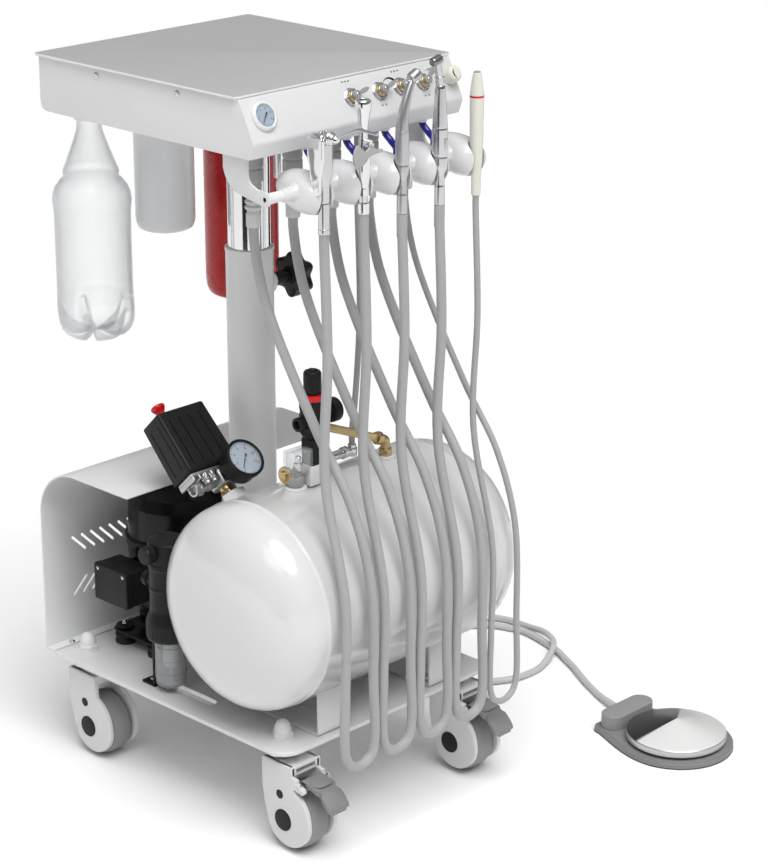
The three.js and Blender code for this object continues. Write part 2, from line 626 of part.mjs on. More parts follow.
// Oval compressor canister on a stamped foot with four rubber grommets
function compressor() {
  const foot = FLOOR_OF_BASE + GROMMET_HEIGHT;
  const canisterZ = foot + 9;
  const seam = canisterZ + CANISTER_HEIGHT * 0.56;
  const top = canisterZ + CANISTER_HEIGHT;
  const profile = [
    [0.45, canisterZ], [0.8, canisterZ + 10], [0.96, canisterZ + 32], [0.97, seam - 3], [1.02, seam - 3],
    [1.02, seam + 3], [0.97, seam + 3], [0.95, top - 42], [0.8, top - 17], [0.5, top - 4],
  ];
  const round = turned(profile.map(([share, height]) => [share * CANISTER_X, height]), 18);
  const canister = round.scale(1, CANISTER_Y / CANISTER_X, 1).translate(0, CANISTER_CENTRE_Y, 0);
  const parts = [canister];
  parts.push(plate(roundedRectangle(GROMMET_SPAN_X + 26, GROMMET_SPAN_Y + 26, 13, 0, CANISTER_CENTRE_Y),
    foot, foot + SHEET, 3));
  parts.push(box(-60, 60, CANISTER_CENTRE_Y - 38, CANISTER_CENTRE_Y + 38, foot, canisterZ + 6));
  for (const [sx, sy] of CORNERS) {
    const mount = [
      [GROMMET_RADIUS, FLOOR_OF_BASE], [GROMMET_RADIUS, foot - 4], [GROMMET_RADIUS - 4, foot - 2],
      [GROMMET_RADIUS - 5, foot + 9],
    ];
    parts.push(turned(mount, 6).translate(
      (sx * GROMMET_SPAN_X) / 2, CANISTER_CENTRE_Y + (sy * GROMMET_SPAN_Y) / 2, 0));
  }
  parts.push(along(rod(4.5, 0, 40, 10), 'x', [-CANISTER_X - 30, CANISTER_CENTRE_Y - 60, seam - 30]));
  parts.push(box(-CANISTER_X + 4, -CANISTER_X + 14, CANISTER_CENTRE_Y - 64, CANISTER_CENTRE_Y - 25,
    seam - 36, seam - 24));
  parts.push(box(TERMINAL_X + SEAT_GAP, -CANISTER_X + 12, CANISTER_CENTRE_Y - 18, CANISTER_CENTRE_Y + 18,
    TERMINAL_Z + 6, TERMINAL_Z + TERMINAL_HEIGHT - 6));
  return join(...parts);
}

const TERMINAL_X = -CANISTER_X - 4;
const TERMINAL_Z = 193;
const TERMINAL_HEIGHT = 45.5;
const GROMMET_SPAN_X = 176;
const GROMMET_SPAN_Y = 58;
piece('compressor', compressor(), BLACK);

piece('terminal_box', box(TERMINAL_X - 38, TERMINAL_X, CANISTER_CENTRE_Y - 29, CANISTER_CENTRE_Y + 29,
  TERMINAL_Z, TERMINAL_Z + TERMINAL_HEIGHT), BLACK);

// Bent rear hood with open ends, two rows of slanted vents and an inward foot flange
function rearHood() {
  const [front, back] = [BASE_DEPTH / 2 - HOOD_DEPTH, BASE_DEPTH / 2];
  const top = BASE_TOP + HOOD_TOP;
  const floor = FLOOR_OF_BASE;
  const wall = new THREE.Shape();
  wall.moveTo(front, top);
  wall.lineTo(back - HOOD_BEND, top);
  wall.absarc(back - HOOD_BEND, top - HOOD_BEND, HOOD_BEND, Math.PI / 2, 0, true);
  wall.lineTo(back, floor);
  wall.lineTo(back - 14, floor);
  wall.lineTo(back - 14, floor + SHEET);
  wall.lineTo(back - SHEET, floor + SHEET);
  wall.lineTo(back - SHEET, top - HOOD_BEND);
  wall.absarc(back - HOOD_BEND, top - HOOD_BEND, HOOD_BEND - SHEET, 0, Math.PI / 2, false);
  wall.lineTo(front, top - SHEET);
  wall.closePath();
  const sheet = sideSheet(wall, -BASE_LENGTH / 2, BASE_LENGTH / 2);
  const tools = [];
  for (let i = 0; i < VENT_COUNT; i += 1) {
    const x = (i - (VENT_COUNT - 1) / 2) * VENT_PITCH;
    for (const [rise, lean] of VENT_ROWS) {
      const length = VENT_RISE * Math.SQRT2;
      tools.push(new THREE.BoxGeometry(VENT_WIDTH, 4 * SHEET, length)
        .rotateY((-lean * Math.PI) / 4).translate(x, back - SHEET / 2, BASE_TOP + rise));
    }
  }
  for (const sx of [-1, 1]) {
    tools.push(rod(STEM_RADIUS + 8, floor - 1, floor + CAP_NUT_HEIGHT + 4, 12)
      .translate(sx * SWIVEL_X, SWIVEL_Y, 0));
  }
  return cut(sheet, ...tools);
}

piece('rear_hood', rearHood(), LIGHT_GREY);

// Separator beside the column: die-cast head with its bell and bracket, clear bowl under it
function separatorHead() {
  const bell = FLOOR_OF_BASE + BOWL_HEIGHT + 1;
  const top = bell + SEPARATOR_HEIGHT;
  const profile = [
    [BELL_RADIUS - 3, bell], [BELL_RADIUS, bell + 4], [BELL_RADIUS, bell + 22], [BELL_RADIUS - 5, bell + 36],
    [BELL_RADIUS - 5, bell + 86], [BELL_RADIUS - 4, bell + 88], [BELL_RADIUS - 4, top - 6], [12, top],
  ];
  const port = along(rod(7, 0, 30, 12), 'y', [0, 8, bell + 62]);
  const bracket = box(-10, 10, BELL_RADIUS - 9, BELL_RADIUS - 6, FLOOR_OF_BASE, bell + 74);
  const bracketFoot = box(-10, 10, BELL_RADIUS - 9, BELL_RADIUS + 13, FLOOR_OF_BASE, FLOOR_OF_BASE + SHEET);
  return join(turned(profile, 14), port, bracket, bracketFoot).translate(SEPARATOR_X, SEPARATOR_Y, 0);
}

piece('separator_head', cut(separatorHead(),
  rod(BOWL_RADIUS + SEAT_GAP, FLOOR_OF_BASE - 1, FLOOR_OF_BASE + BOWL_HEIGHT + 8, 14)
    .translate(SEPARATOR_X, SEPARATOR_Y, 0)), BLACK);
piece('separator_bowl', turned([
  [7, FLOOR_OF_BASE], [7, FLOOR_OF_BASE + 5], [BOWL_RADIUS - 6, FLOOR_OF_BASE + 7],
  [BOWL_RADIUS - 1, FLOOR_OF_BASE + 13], [BOWL_RADIUS - 1, FLOOR_OF_BASE + BOWL_HEIGHT + 7],
], 14), CLEAR, [SEPARATOR_X, SEPARATOR_Y, 0]);

// Telescopic column: fixed outer tube with its foot flange and clamp boss, sliding mast
function columnOuter() {
  const floor = FLOOR_OF_BASE;
  const tube = turned([
    [COLUMN_RADIUS + 20, floor], [COLUMN_RADIUS + 20, floor + 6], [COLUMN_RADIUS + 3, floor + 6],
    [COLUMN_RADIUS, floor + 12], [COLUMN_RADIUS, COLUMN_TOP - 22], [COLUMN_RADIUS + 2, COLUMN_TOP - 20],
    [COLUMN_RADIUS + 2, COLUMN_TOP],
  ]);
  const boss = along(rod(CLAMP_BOSS_RADIUS, 0, COLUMN_RADIUS + CLAMP_BOSS_REACH, 14), 'x', [0, 0, CLAMP_Z]);
  const bore = rod(MAST_RADIUS + SEAT_GAP, MAST_BOTTOM - 130, COLUMN_TOP + 1);
  return cut(join(tube, boss), bore);
}

piece('column_outer', columnOuter(), LIGHT_GREY, [0, COLUMN_Y, 0]);

function clampKnob() {
  const hub = turned([[CLAMP_BOSS_RADIUS, 0], [CLAMP_BOSS_RADIUS + 2, 4]], 16);
  const star = plate(lobed(STAR_RADIUS, 3.4, STAR_LOBES, 42), 3, 3 + STAR_THICKNESS);
  return along(join(hub, star), 'x');
}

piece('clamp_knob', clampKnob(), BLACK, [COLUMN_RADIUS + CLAMP_BOSS_REACH + SEAT_GAP, COLUMN_Y, CLAMP_Z]);

piece('column_mast', rod(MAST_RADIUS, MAST_BOTTOM, UNDER_CASE), CHROME, [0, COLUMN_Y, 0], upper);

// Control box: bent housing, everything fixed to its underside and to its sloped panel
function panelFrame(geometry, x) {
  const y = CASE_FRONT + PANEL_SETBACK * PANEL_MIDDLE;
  const z = CASE_BOTTOM + CASE_BEND_HEIGHT + (CASE_HEIGHT - CASE_BEND_HEIGHT) * PANEL_MIDDLE;
  return geometry.rotateX(Math.PI / 2 - PANEL_SLOPE).translate(x, y, z);
}

function controlCase() {
  const side = new THREE.Shape();
  side.moveTo(CASE_FRONT + 6, CASE_BOTTOM);
  side.lineTo(CASE_FRONT, CASE_BOTTOM + CASE_BEND_HEIGHT);
  side.lineTo(PANEL_TOP_Y, CASE_TOP);
  side.lineTo(CASE_BACK, CASE_TOP);
  side.lineTo(CASE_BACK, CASE_BOTTOM + 12);
  side.quadraticCurveTo(CASE_BACK, CASE_BOTTOM, CASE_BACK - 12, CASE_BOTTOM);
  side.closePath();
  const parts = [sideSheet(side, -CASE_WIDTH / 2, CASE_WIDTH / 2)];
  parts.push(panelFrame(turned([
    [PANEL_GAUGE_RADIUS, -2], [PANEL_GAUGE_RADIUS, 6], [PANEL_GAUGE_RADIUS - 2, 7.5],
    [PANEL_GAUGE_RADIUS - 3, 5.5],
  ], 16), PANEL_GAUGE_X));
  for (const x of VALVE_XS) {
    parts.push(panelFrame(turned([
      [VALVE_RADIUS + 3, -2], [VALVE_RADIUS + 3, 4], [VALVE_RADIUS, 4], [VALVE_RADIUS, VALVE_HEIGHT],
    ], 6), x));
  }
  for (let i = 0; i < HOLDER_COUNT; i += 1) {
    const length = RELIEF_LENGTH;
    parts.push(turned([
      [RELIEF_RADIUS * 0.58, -length], [RELIEF_RADIUS * 0.62, -length * 0.45],
      [RELIEF_RADIUS * 0.82, -length * 0.42], [RELIEF_RADIUS, -length * 0.18], [RELIEF_RADIUS, 1],
    ], 8).translate(holderX(i), RELIEF_Y, CASE_BOTTOM));
  }
  for (const [x, y] of [PET_XY, RED_XY]) {
    parts.push(rod(BOTTLE_CAP_RADIUS, CASE_BOTTOM - BOTTLE_CAP_HEIGHT, CASE_BOTTOM + 1, 12).translate(x, y, 0));
  }
  parts.push(rod(SUPPLY_HOSE_RADIUS + 3, CASE_BOTTOM - SOCKET_LENGTH, CASE_BOTTOM + 1, 12)
    .translate(...SUPPLY_TOP, 0));
  parts.push(rod(4, CASE_BOTTOM - 43, CASE_BOTTOM + 1, 10).translate(-67, -100, 0));
  for (let i = 0; i < HOLDER_COUNT - 1; i += 1) parts.push(blueTube(i));
  return join(...parts);
}

// Blue air tube from the underside of the box to the top of a holder
function blueTube(index) {
  const x = holderX(index);
  return hose([
    [x + 14, HOLDER_Y + 30, CASE_BOTTOM + 2],
    [x + 14, HOLDER_Y + 28, CASE_BOTTOM - 8],
    [x + 12, HOLDER_Y + 8, CASE_BOTTOM - 15],
    [x + 6, HOLDER_Y - 4, RAIL_Z + HOLDER_RADIUS + 3],
    [x + 4, HOLDER_Y - 6, RAIL_Z + HOLDER_RADIUS + BLUE_TUBE_GAP],
  ], BLUE_TUBE_RADIUS, 5, 5);
}

const VALVE_HEIGHT = 13;
const SOCKET_LENGTH = 12;
const SUPPLY_TOP = [PIPE_X + 10, PIPE_Y];
const BLUE_TUBE_GAP = 0.8;
piece('control_case', controlCase(), LIGHT_GREY, [0, 0, 0], upper);

const LID_FRONT = PANEL_TOP_Y;
const LID_DEPTH = CASE_BACK + LID_OVERHANG - LID_FRONT;
piece('lid_plate', plate(roundedRectangle(LID_WIDTH, LID_DEPTH, 6, 0, LID_FRONT + LID_DEPTH / 2), 0, LID_THICKNESS, 3),
  SATIN_GREY, [0, 0, LID_BOTTOM], upper);

// Wing levers of the panel valves, and the round flow knob
function valveLever() {
  const hub = rod(VALVE_RADIUS, 0, 6, 10);
  const wing = new THREE.Shape();
  wing.moveTo(-3, -4);
  wing.lineTo(3, -4);
  wing.lineTo(4, 19);
  wing.quadraticCurveTo(0, 23, -4, 19);
  wing.closePath();
  return join(hub, plate(wing, 1, 5, 3)).rotateZ(-Math.PI / 5).rotateX(Math.PI / 2 - PANEL_SLOPE);
}

const PANEL_NORMAL = [0, -Math.cos(PANEL_SLOPE), Math.sin(PANEL_SLOPE)];
function panelPoint(x, height) {
  const y = CASE_FRONT + PANEL_SETBACK * PANEL_MIDDLE + PANEL_NORMAL[1] * height;
  const z = CASE_BOTTOM + CASE_BEND_HEIGHT + (CASE_HEIGHT - CASE_BEND_HEIGHT) * PANEL_MIDDLE
    + PANEL_NORMAL[2] * height;
  return [x, y, z];
}

VALVE_XS.forEach((x, i) => {
  piece(`valve_lever_${i + 1}`, valveLever(), SATIN_GREY, panelPoint(x, VALVE_HEIGHT + SEAT_GAP), upper);
});
piece('flow_knob', turned([[FLOW_KNOB_RADIUS, 0], [FLOW_KNOB_RADIUS, FLOW_KNOB_HEIGHT - 3],
  [FLOW_KNOB_RADIUS - 3, FLOW_KNOB_HEIGHT]], 16).rotateX(Math.PI / 2 - PANEL_SLOPE), CREAM,
panelPoint(FLOW_KNOB_X, SEAT_GAP), upper);

// Holder rail: a round rod between two bent arms that hang from the box
function holderRail() {
  const arm = new THREE.Shape();
  const top = UNDER_CASE;
  arm.moveTo(HOLDER_Y + 63, top);
  arm.lineTo(HOLDER_Y + 63, top - 16);
  arm.quadraticCurveTo(HOLDER_Y + 58, RAIL_Z + 4, HOLDER_Y + 38, RAIL_Z - 1);
  arm.lineTo(HOLDER_Y, RAIL_Z - RAIL_RADIUS - 2);
  arm.absarc(HOLDER_Y, RAIL_Z, RAIL_RADIUS + 2, -Math.PI / 2, -Math.PI * 1.5, true);
  arm.lineTo(HOLDER_Y + 16, RAIL_Z + 10);
  arm.quadraticCurveTo(HOLDER_Y + 26, RAIL_Z + 14, HOLDER_Y + 26, RAIL_Z + 24);
  arm.lineTo(HOLDER_Y + 26, top);
  arm.closePath();
  const lastHolder = holderX(HOLDER_COUNT - 1);
  const parts = [along(rod(RAIL_RADIUS, ARM_XS[0], lastHolder + RAIL_OVERHANG, 12), 'x', [0, HOLDER_Y, RAIL_Z])];
  ARM_XS.forEach((x) => {
    const flange = 14;
    parts.push(sideSheet(arm, x - SHEET / 2, x + SHEET / 2));
    parts.push(box(x, x + flange,
      HOLDER_Y + 26, HOLDER_Y + 63, top - SHEET, top));
  });
  return join(...parts);
}

// The left arm stands outside the holders, the right one between the last two
const ARM_XS = [holderX(0) - HOLDER_PITCH, holderX(HOLDER_COUNT - 1) - HOLDER_PITCH / 2];
const RAIL_OVERHANG = 14;
piece('holder_rail', holderRail(), CREAM, [0, 0, 0], upper);

// Egg-shaped holder, bored across for the rail and down for the instrument
function holder() {
  const profile = [];
  for (let i = 0; i <= EGG_STEPS; i += 1) {
    const angle = (i / EGG_STEPS) * Math.PI;
    profile.push([HOLDER_RADIUS * Math.sin(angle) ** 0.9, (-HOLDER_LENGTH / 2) * Math.cos(angle)]);
  }
  profile[0][0] = 0;
  profile[EGG_STEPS][0] = 0;
  const tilt = THREE.MathUtils.degToRad(HOLDER_TILT);
  const egg = turned(profile, 12).rotateX(Math.PI / 2 - tilt + Math.PI).translate(0, 0, HOLDER_SAG);
  const cross = along(rod(RAIL_RADIUS + SEAT_GAP, -30, 30, 12), 'x');
  const well = rod(INSTRUMENT_HOLE, -40, 40, 12).translate(0, -INSTRUMENT_REACH, 0);
  const mouth = box(-HOLDER_SLOT / 2, HOLDER_SLOT / 2, -HOLDER_LENGTH, -INSTRUMENT_REACH, -40, 40);
  return cut(egg, cross, well, mouth);
}

const HOLDER_SAG = -2.5;
const EGG_STEPS = 7;
for (let i = 0; i < HOLDER_COUNT; i += 1) {
  piece(`holder_${i + 1}`, holder(), WHITE_GLOSS, [holderX(i), HOLDER_Y, RAIL_Z], upper);
}

// Instruments: each hangs in its holder and is placed at its hose end
const HOSE_END_DROPS = [43, 32, 42.5, 43.4, 43.7];
const hoseEnd = (index) => RAIL_Z - HOSE_END_DROPS[index];
const stand = (index) => [holderX(index), INSTRUMENT_Y, hoseEnd(index)];

function syringe() {
  const head = turned([
    [6.1, 0], [6.1, 54], [9, 60], [12.2, 78], [12.2, 98], [9, 104],
  ], 12);
  const nut = new THREE.CylinderGeometry(4, 5, 10, 10).rotateX(Math.PI / 2).translate(0, -15, 92);
  const nozzle = hose([[0, -14, 92], [0, -30, 97], [0, -44, 103], [0, -58, 106], [0, -66, 102]], 1.9, 7, 6);
  const wells = [-1, 1].map((side) => rod(BUTTON_RADIUS + BORE_GAP, BUTTON_FLOOR, SYRINGE_TOP + 1, 10)
    .translate(side * BUTTON_SPREAD, 0, 0));
  return cut(join(head, nut, nozzle), ...wells);
}

const SYRINGE_TOP = 104;
const BUTTON_RADIUS = 2.6;
const BUTTON_SPREAD = 4;
const BUTTON_TRAVEL = 1.5;
const BUTTON_FLOOR = SYRINGE_TOP - 3.2;
piece('syringe', syringe(), STEEL, stand(0), upper);
for (const side of [-1, 1]) {
  const button = rod(BUTTON_RADIUS, BUTTON_FLOOR + SEAT_GAP + BUTTON_TRAVEL, SYRINGE_TOP + 5.3, 10);
  piece(side < 0 ? 'water_button' : 'air_button', button.translate(side * BUTTON_SPREAD, 0, 0), STEEL,
    stand(0), upper);
}

function suctionValve() {
  const body = turned([
    [6.5, 0], [6.5, 50], [8.6, 58], [9.6, 84], [6.4, 90], [5.4, 112], [7.2, 116], [7.2, 129],
  ], 12);
  return body;
}

piece('suction_valve', suctionValve(), STEEL, stand(1), upper);
piece('suction_lever', join(
  along(rod(8, 0, 4, 14), '-y', [0, 0, 0]),
  box(0, 22, -4, -1, -2.5, 2.5),
), WHEEL_GREY, [holderX(1), INSTRUMENT_Y - 10, hoseEnd(1) + 76], upper);

function highSpeed() {
  const body = turned([
    [5.6, 0], [5.6, 30], [8.4, 36], [8.4, 60], [7.4, 64], [7.4, 96], [5.4, 120],
  ], 10);
  const neck = hose([[0, 0, 118], [2, 0, 126], [7, 0, 136], [14, 0, 143]], 4.2, 4, 8);
  const head = rod(6, -7, 7, 12).rotateY(Math.PI / 3).translate(16, 0, 145);
  return join(body, neck, head);
}

piece('high_speed_handpiece', highSpeed(), STEEL, stand(2), upper);

function lowSpeed() {
  const body = turned([
    [5.6, 0], [5.6, 30], [8.6, 38], [8.9, 92], [7.6, 96], [7.6, 110], [5.2, 128],
  ], 10);
  const neck = hose([[0, 0, 124], [-1, 0, 136], [-5, 0, 153]], 4, 3, 8);
  const head = rod(5, -7, 7, 12).rotateY(Math.PI / 2.4).translate(-7, 0, 153);
  return join(body, neck, head);
}

piece('low_speed_handpiece', lowSpeed(), STEEL, stand(3), upper);
piece('scaler_handpiece', turned([
  [5, 0], [5, 26], [7.4, 38], [7.9, 96], [8.1, 118], [6.4, 132], [4, 136],
], 12), CREAM, stand(4), upper);

// Bottles: ribbed clear one, plain frosted one and red one with a domed shoulder
function bottleAt(rings, length, sides) {
  return turned(rings.map(([radius, share]) => [radius, share * length]), sides);
}

const BOTTLE_TOP = CASE_BOTTOM - BOTTLE_CAP_HEIGHT - SEAT_GAP;
piece('clear_bottle', bottleAt([
  [PET_RADIUS - 20, -1], [PET_RADIUS - 3, -0.985], [PET_RADIUS, -0.94], [PET_RADIUS + 1, -0.88],
  [PET_RADIUS, -0.83], [PET_RADIUS, -0.43], [PET_RADIUS + 1.8, -0.36], [PET_RADIUS - 11, -0.29],
  [PET_RADIUS - 11, -0.22], [14, 0],
], PET_LENGTH, 14), CLEAR, [...PET_XY, BOTTLE_TOP], upper);
piece('frosted_bottle', bottleAt([
  [FROSTED_RADIUS - 12, -1], [FROSTED_RADIUS - 3, -0.975], [FROSTED_RADIUS, -0.91], [FROSTED_RADIUS, 0],
], FROSTED_LENGTH, 22), FROSTED, [...FROSTED_XY, UNDER_CASE], upper);
piece('red_bottle', bottleAt([
  [RED_RADIUS - 18, -1], [RED_RADIUS - 2, -0.98], [RED_RADIUS, -0.91], [RED_RADIUS, -0.47],
  [RED_RADIUS - 2, -0.42], [RED_RADIUS, -0.37], [RED_RADIUS - 5, -0.3], [RED_RADIUS - 18, -0.24], [14, -0.13], [14, 0],
], RED_LENGTH, 14), RED, [...RED_XY, BOTTLE_TOP], upper);

// Instrument hoses hang in a long loop from each instrument back to its strain relief
function instrumentHose(index) {
  const x = holderX(index);
  const radius = index === HOLDER_COUNT - 1 ? SCALER_HOSE_RADIUS : HOSE_RADIUS;
  const end = hoseEnd(index) - SEAT_GAP;
  const points = [
    [x, INSTRUMENT_Y, end],
    [x, INSTRUMENT_Y, end - 12],
    [x - 8, -203, 560],
    [x - 18, -208, 430],
    [x - 32, -252, 300],
    [x - 39, -258, 200],
    [x - 39, -258, 131],
    [x - 32.6, -258, 115.4],
    [x - 17, -258, 109],
    [x - 1.4, -258, 115.4],
    [x + 5, -258, 131],
    [x + 5, -257, 200],
    [x + 4, -253, 320],
    [x + 3, -225, 400],
    [x + 2, -175, 470],
    [x, -100, 600],
    [x, RELIEF_Y, CASE_BOTTOM - RELIEF_LENGTH - 12],
    [x, RELIEF_Y, CASE_BOTTOM - RELIEF_LENGTH - SEAT_GAP],
  ];
  return hose(points, radius, 22, 6);
}

for (let i = 0; i < HOLDER_COUNT; i += 1) {
  piece(`instrument_hose_${i + 1}`, instrumentHose(i), HOSE_GREY, [0, 0, 0], upper);
}

piece('supply_hose', hose([
  [PIPE_X, PIPE_Y, PIPE_Z + 7 + SEAT_GAP],
  [PIPE_X, PIPE_Y, PIPE_Z + 22],
  [PIPE_X + 5, PIPE_Y, 458],
  [PIPE_X + 13, PIPE_Y, 560],
  [PIPE_X + 10, PIPE_Y, 690],
  [PIPE_X + 10, PIPE_Y, CASE_BOTTOM - SOCKET_LENGTH - 12],
  [PIPE_X + 10, PIPE_Y, CASE_BOTTOM - SOCKET_LENGTH - SEAT_GAP],
], SUPPLY_HOSE_RADIUS, 5), HOSE_GREY);

// Foot control: teardrop base, raised heel block, sprung round pedal
const [FOOT_X, FOOT_Y] = FOOT_XY;
function footBase() {
  const shape = new THREE.Shape();
  const tail = FOOT_BASE_LENGTH;
  shape.absarc(0, 0, FOOT_BASE_RADIUS, Math.PI, 0, false);
  shape.lineTo(FOOT_TAIL_WIDTH / 2, tail);
  shape.lineTo(-FOOT_TAIL_WIDTH / 2, tail);
  shape.closePath();
  const heel = new THREE.ExtrudeGeometry(roundedRectangle(HEEL_LENGTH, HEEL_WIDTH, HEEL_WIDTH / 2, 0, HEEL_Y), {
    depth: HEEL_HEIGHT - 3, bevelThickness: 3, bevelSize: 3, bevelOffset: -3, bevelSegments: 1, curveSegments: 3,
  }).translate(0, 0, FOOT_BASE_HEIGHT - 3.5);
  const neck = along(rod(NECK_RADIUS, 0, NECK_LENGTH, 12), 'y').rotateZ(-NECK_SLANT)
    .translate(...NECK_START, NECK_HEIGHT);
  const well = rod(DISC_STEM + BORE_GAP, WELL_FLOOR, FOOT_BASE_HEIGHT + 2);
  return cut(join(plate(shape, 0, FOOT_BASE_HEIGHT, 10), heel, neck), well);
}

const HEEL_Y = DISC_RADIUS + HEEL_GAP + HEEL_WIDTH / 2;
const DISC_STEM = 14;
const DISC_FLOOR = FOOT_BASE_HEIGHT + SEAT_GAP + PEDAL_TRAVEL;
const STEM_BOTTOM = WELL_FLOOR + SEAT_GAP + PEDAL_TRAVEL;
piece('foot_control_base', footBase(), WHEEL_GREY, [FOOT_X, FOOT_Y, 0]);
piece('foot_pedal_disc', turned([
  [DISC_STEM, STEM_BOTTOM], [DISC_STEM, DISC_FLOOR], [DISC_RADIUS - 2, DISC_FLOOR],
  [DISC_RADIUS, DISC_FLOOR + 2], [DISC_RADIUS, DISC_FLOOR + DISC_RIM - 1], [DISC_RADIUS - 3, DISC_FLOOR + DISC_RIM],
  [16, DISC_FLOOR + DISC_RIM + DISC_CROWN - 3], [0, DISC_FLOOR + DISC_RIM + DISC_CROWN],
]), STEEL, [FOOT_X, FOOT_Y, 0]);

// The foot control's hose lies on the floor, then goes up to the gland under the base plate
const [GLAND_X, GLAND_Y] = PEDAL_GLAND;
function neckPoint(distance, z) {
  const reach = NECK_LENGTH + distance;
  return [
    FOOT_X + NECK_START[0] + reach * Math.sin(NECK_SLANT), FOOT_Y + NECK_START[1] + reach * Math.cos(NECK_SLANT), z,
  ];
}

piece('foot_hose', hose([
  neckPoint(SEAT_GAP, NECK_HEIGHT),
  neckPoint(14, NECK_HEIGHT - 1),
  [383, -194, 5],
  [403, -153, 5],
  [426, -113, 5],
  [438, -89, 5],
  [450, -65, 5],
  [456, -45, 5],
  [462, -22, 5],
  [466, 0, 5],
  [466, 14, 5],
  [461, 29, 5],
  [456, 43, 5],
  [449, 55, 5],
  [430, 71, 5],
  [403, 85, 5],
  [379, 101, 5],
  [369, 125, 5],
  [379, 151, 5],
  [405, 161, 5],
  [431, 151, 5],
  [441, 125, 5],
  [446, 101, 5],
  [462, 80, 5],
  [474, 62, 5],
  [480, 44, 5],
  [481, 28, 5],
  [480, 9, 6],
  [475, -14, 10],
  [464, -37, 14],
  [451, -57, 15],
  [433, -70, 13],
  [413, -78, 8],
  [392, -83, 5],
  [370, -84, 5],
  [350, -81, 5],
  [334, -74, 5],
  [321, -65, 5],
  [306, -52, 5],
  [284, -41, 5],
  [240, -32, 5],
  [190, -22, 5],
  [150, -11, 5],
  [GLAND_X + 42, GLAND_Y, 5],
  [GLAND_X + 21, GLAND_Y, 10.6],
  [GLAND_X + 5.6, GLAND_Y, 26],
  [GLAND_X, GLAND_Y, 47],
  [GLAND_X, GLAND_Y, 76],
  [GLAND_X, GLAND_Y, BASE_BOTTOM - GLAND_LENGTH - SEAT_GAP],
], PEDAL_HOSE_RADIUS, 46, 6), HOSE_GREY);

// The origin stands on the floor in the middle of everything but the hoses
cart.updateMatrixWorld(true);
const extent = new THREE.Box3();
cart.traverse((node) => {
  if (node.isMesh && !node.name.includes('hose')) extent.expandByObject(node, true);
});
unit.position.set(-(extent.min.x + extent.max.x) / 2, -(extent.min.y + extent.max.y) / 2, -extent.min.z);

export default unit;
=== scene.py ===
"""Dresses a portable dental unit: every surface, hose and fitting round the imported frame."""
import math

import bmesh
import bpy
from mathutils import Euler, Matrix, Vector


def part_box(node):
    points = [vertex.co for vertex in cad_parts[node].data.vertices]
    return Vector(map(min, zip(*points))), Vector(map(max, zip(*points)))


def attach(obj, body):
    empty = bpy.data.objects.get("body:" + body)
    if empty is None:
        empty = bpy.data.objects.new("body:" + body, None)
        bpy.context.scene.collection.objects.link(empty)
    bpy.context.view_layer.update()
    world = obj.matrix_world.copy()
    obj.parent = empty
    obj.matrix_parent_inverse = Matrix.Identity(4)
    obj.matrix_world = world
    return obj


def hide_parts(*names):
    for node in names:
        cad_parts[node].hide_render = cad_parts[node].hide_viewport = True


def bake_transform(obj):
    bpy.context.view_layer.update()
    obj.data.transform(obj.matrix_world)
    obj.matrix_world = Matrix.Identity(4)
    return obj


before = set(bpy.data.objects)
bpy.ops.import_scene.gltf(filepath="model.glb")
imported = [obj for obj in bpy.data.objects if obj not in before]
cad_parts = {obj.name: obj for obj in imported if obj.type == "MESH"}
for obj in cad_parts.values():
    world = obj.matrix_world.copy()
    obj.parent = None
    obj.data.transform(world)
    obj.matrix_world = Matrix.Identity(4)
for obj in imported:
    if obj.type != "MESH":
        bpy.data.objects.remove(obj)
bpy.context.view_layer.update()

bl_info = {
    "name": "Portable dental unit",
    "version": (1, 0, 0),
    "blender": (4, 5, 0),
    "location": "3D View > Sidebar > Dental unit",
    "description": "Builds the finished surfaces of a portable dental unit",
    "category": "Add Mesh",
}

MM = 0.001
COLUMN_Y = 19.0

# Everything below is drawn in millimetres about the middle of the base plate
_mast_low, _mast_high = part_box("column_mast")
SHIFT = Vector((
    (_mast_low[0] + _mast_high[0]) / 2,
    (_mast_low[1] + _mast_high[1]) / 2 - COLUMN_Y * MM,
    0,
))
PLACE = Matrix.Translation(SHIFT) @ Matrix.Scale(MM, 4)


def point(x, y, z):
    """A point of the unit in the frame's metres."""
    return tuple(PLACE @ Vector((x, y, z)))


# Camera and picture
CAMERA_AT = (-1911, -2061, 1403)
CAMERA_TURN = -45.63
CAMERA_DOWN = 19.58
CAMERA_LENS = 109.1
CAMERA_SENSOR = 36
CAMERA_REACH = 100

# Light, in metres: flags are their name, azimuth in degrees, distance, width and height
LIT_HEIGHT = 0.45
SUN_AT = (-0.55, -1.25, 3.1)
SUN_POWER = 2.5
SUN_ANGLE = 40
KEY_AT = (-2.6, -1.0, 3.2)
KEY_POWER = 16
KEY_SIZE = 1.6
FLOOR_SIZE = 40
FLAG_THICKNESS = 0.02
FLAG_LIFT = 0.002
SKY_POWER = 0.5
SKY_STOPS = [(0.40, 0.80), (0.56, 0.25), (0.95, 1.0)]
FLAGS = [("flag_left", 202, 2.3, 1.05, 1.3), ("flag_right", 12, 1.7, 0.9, 1.1)]

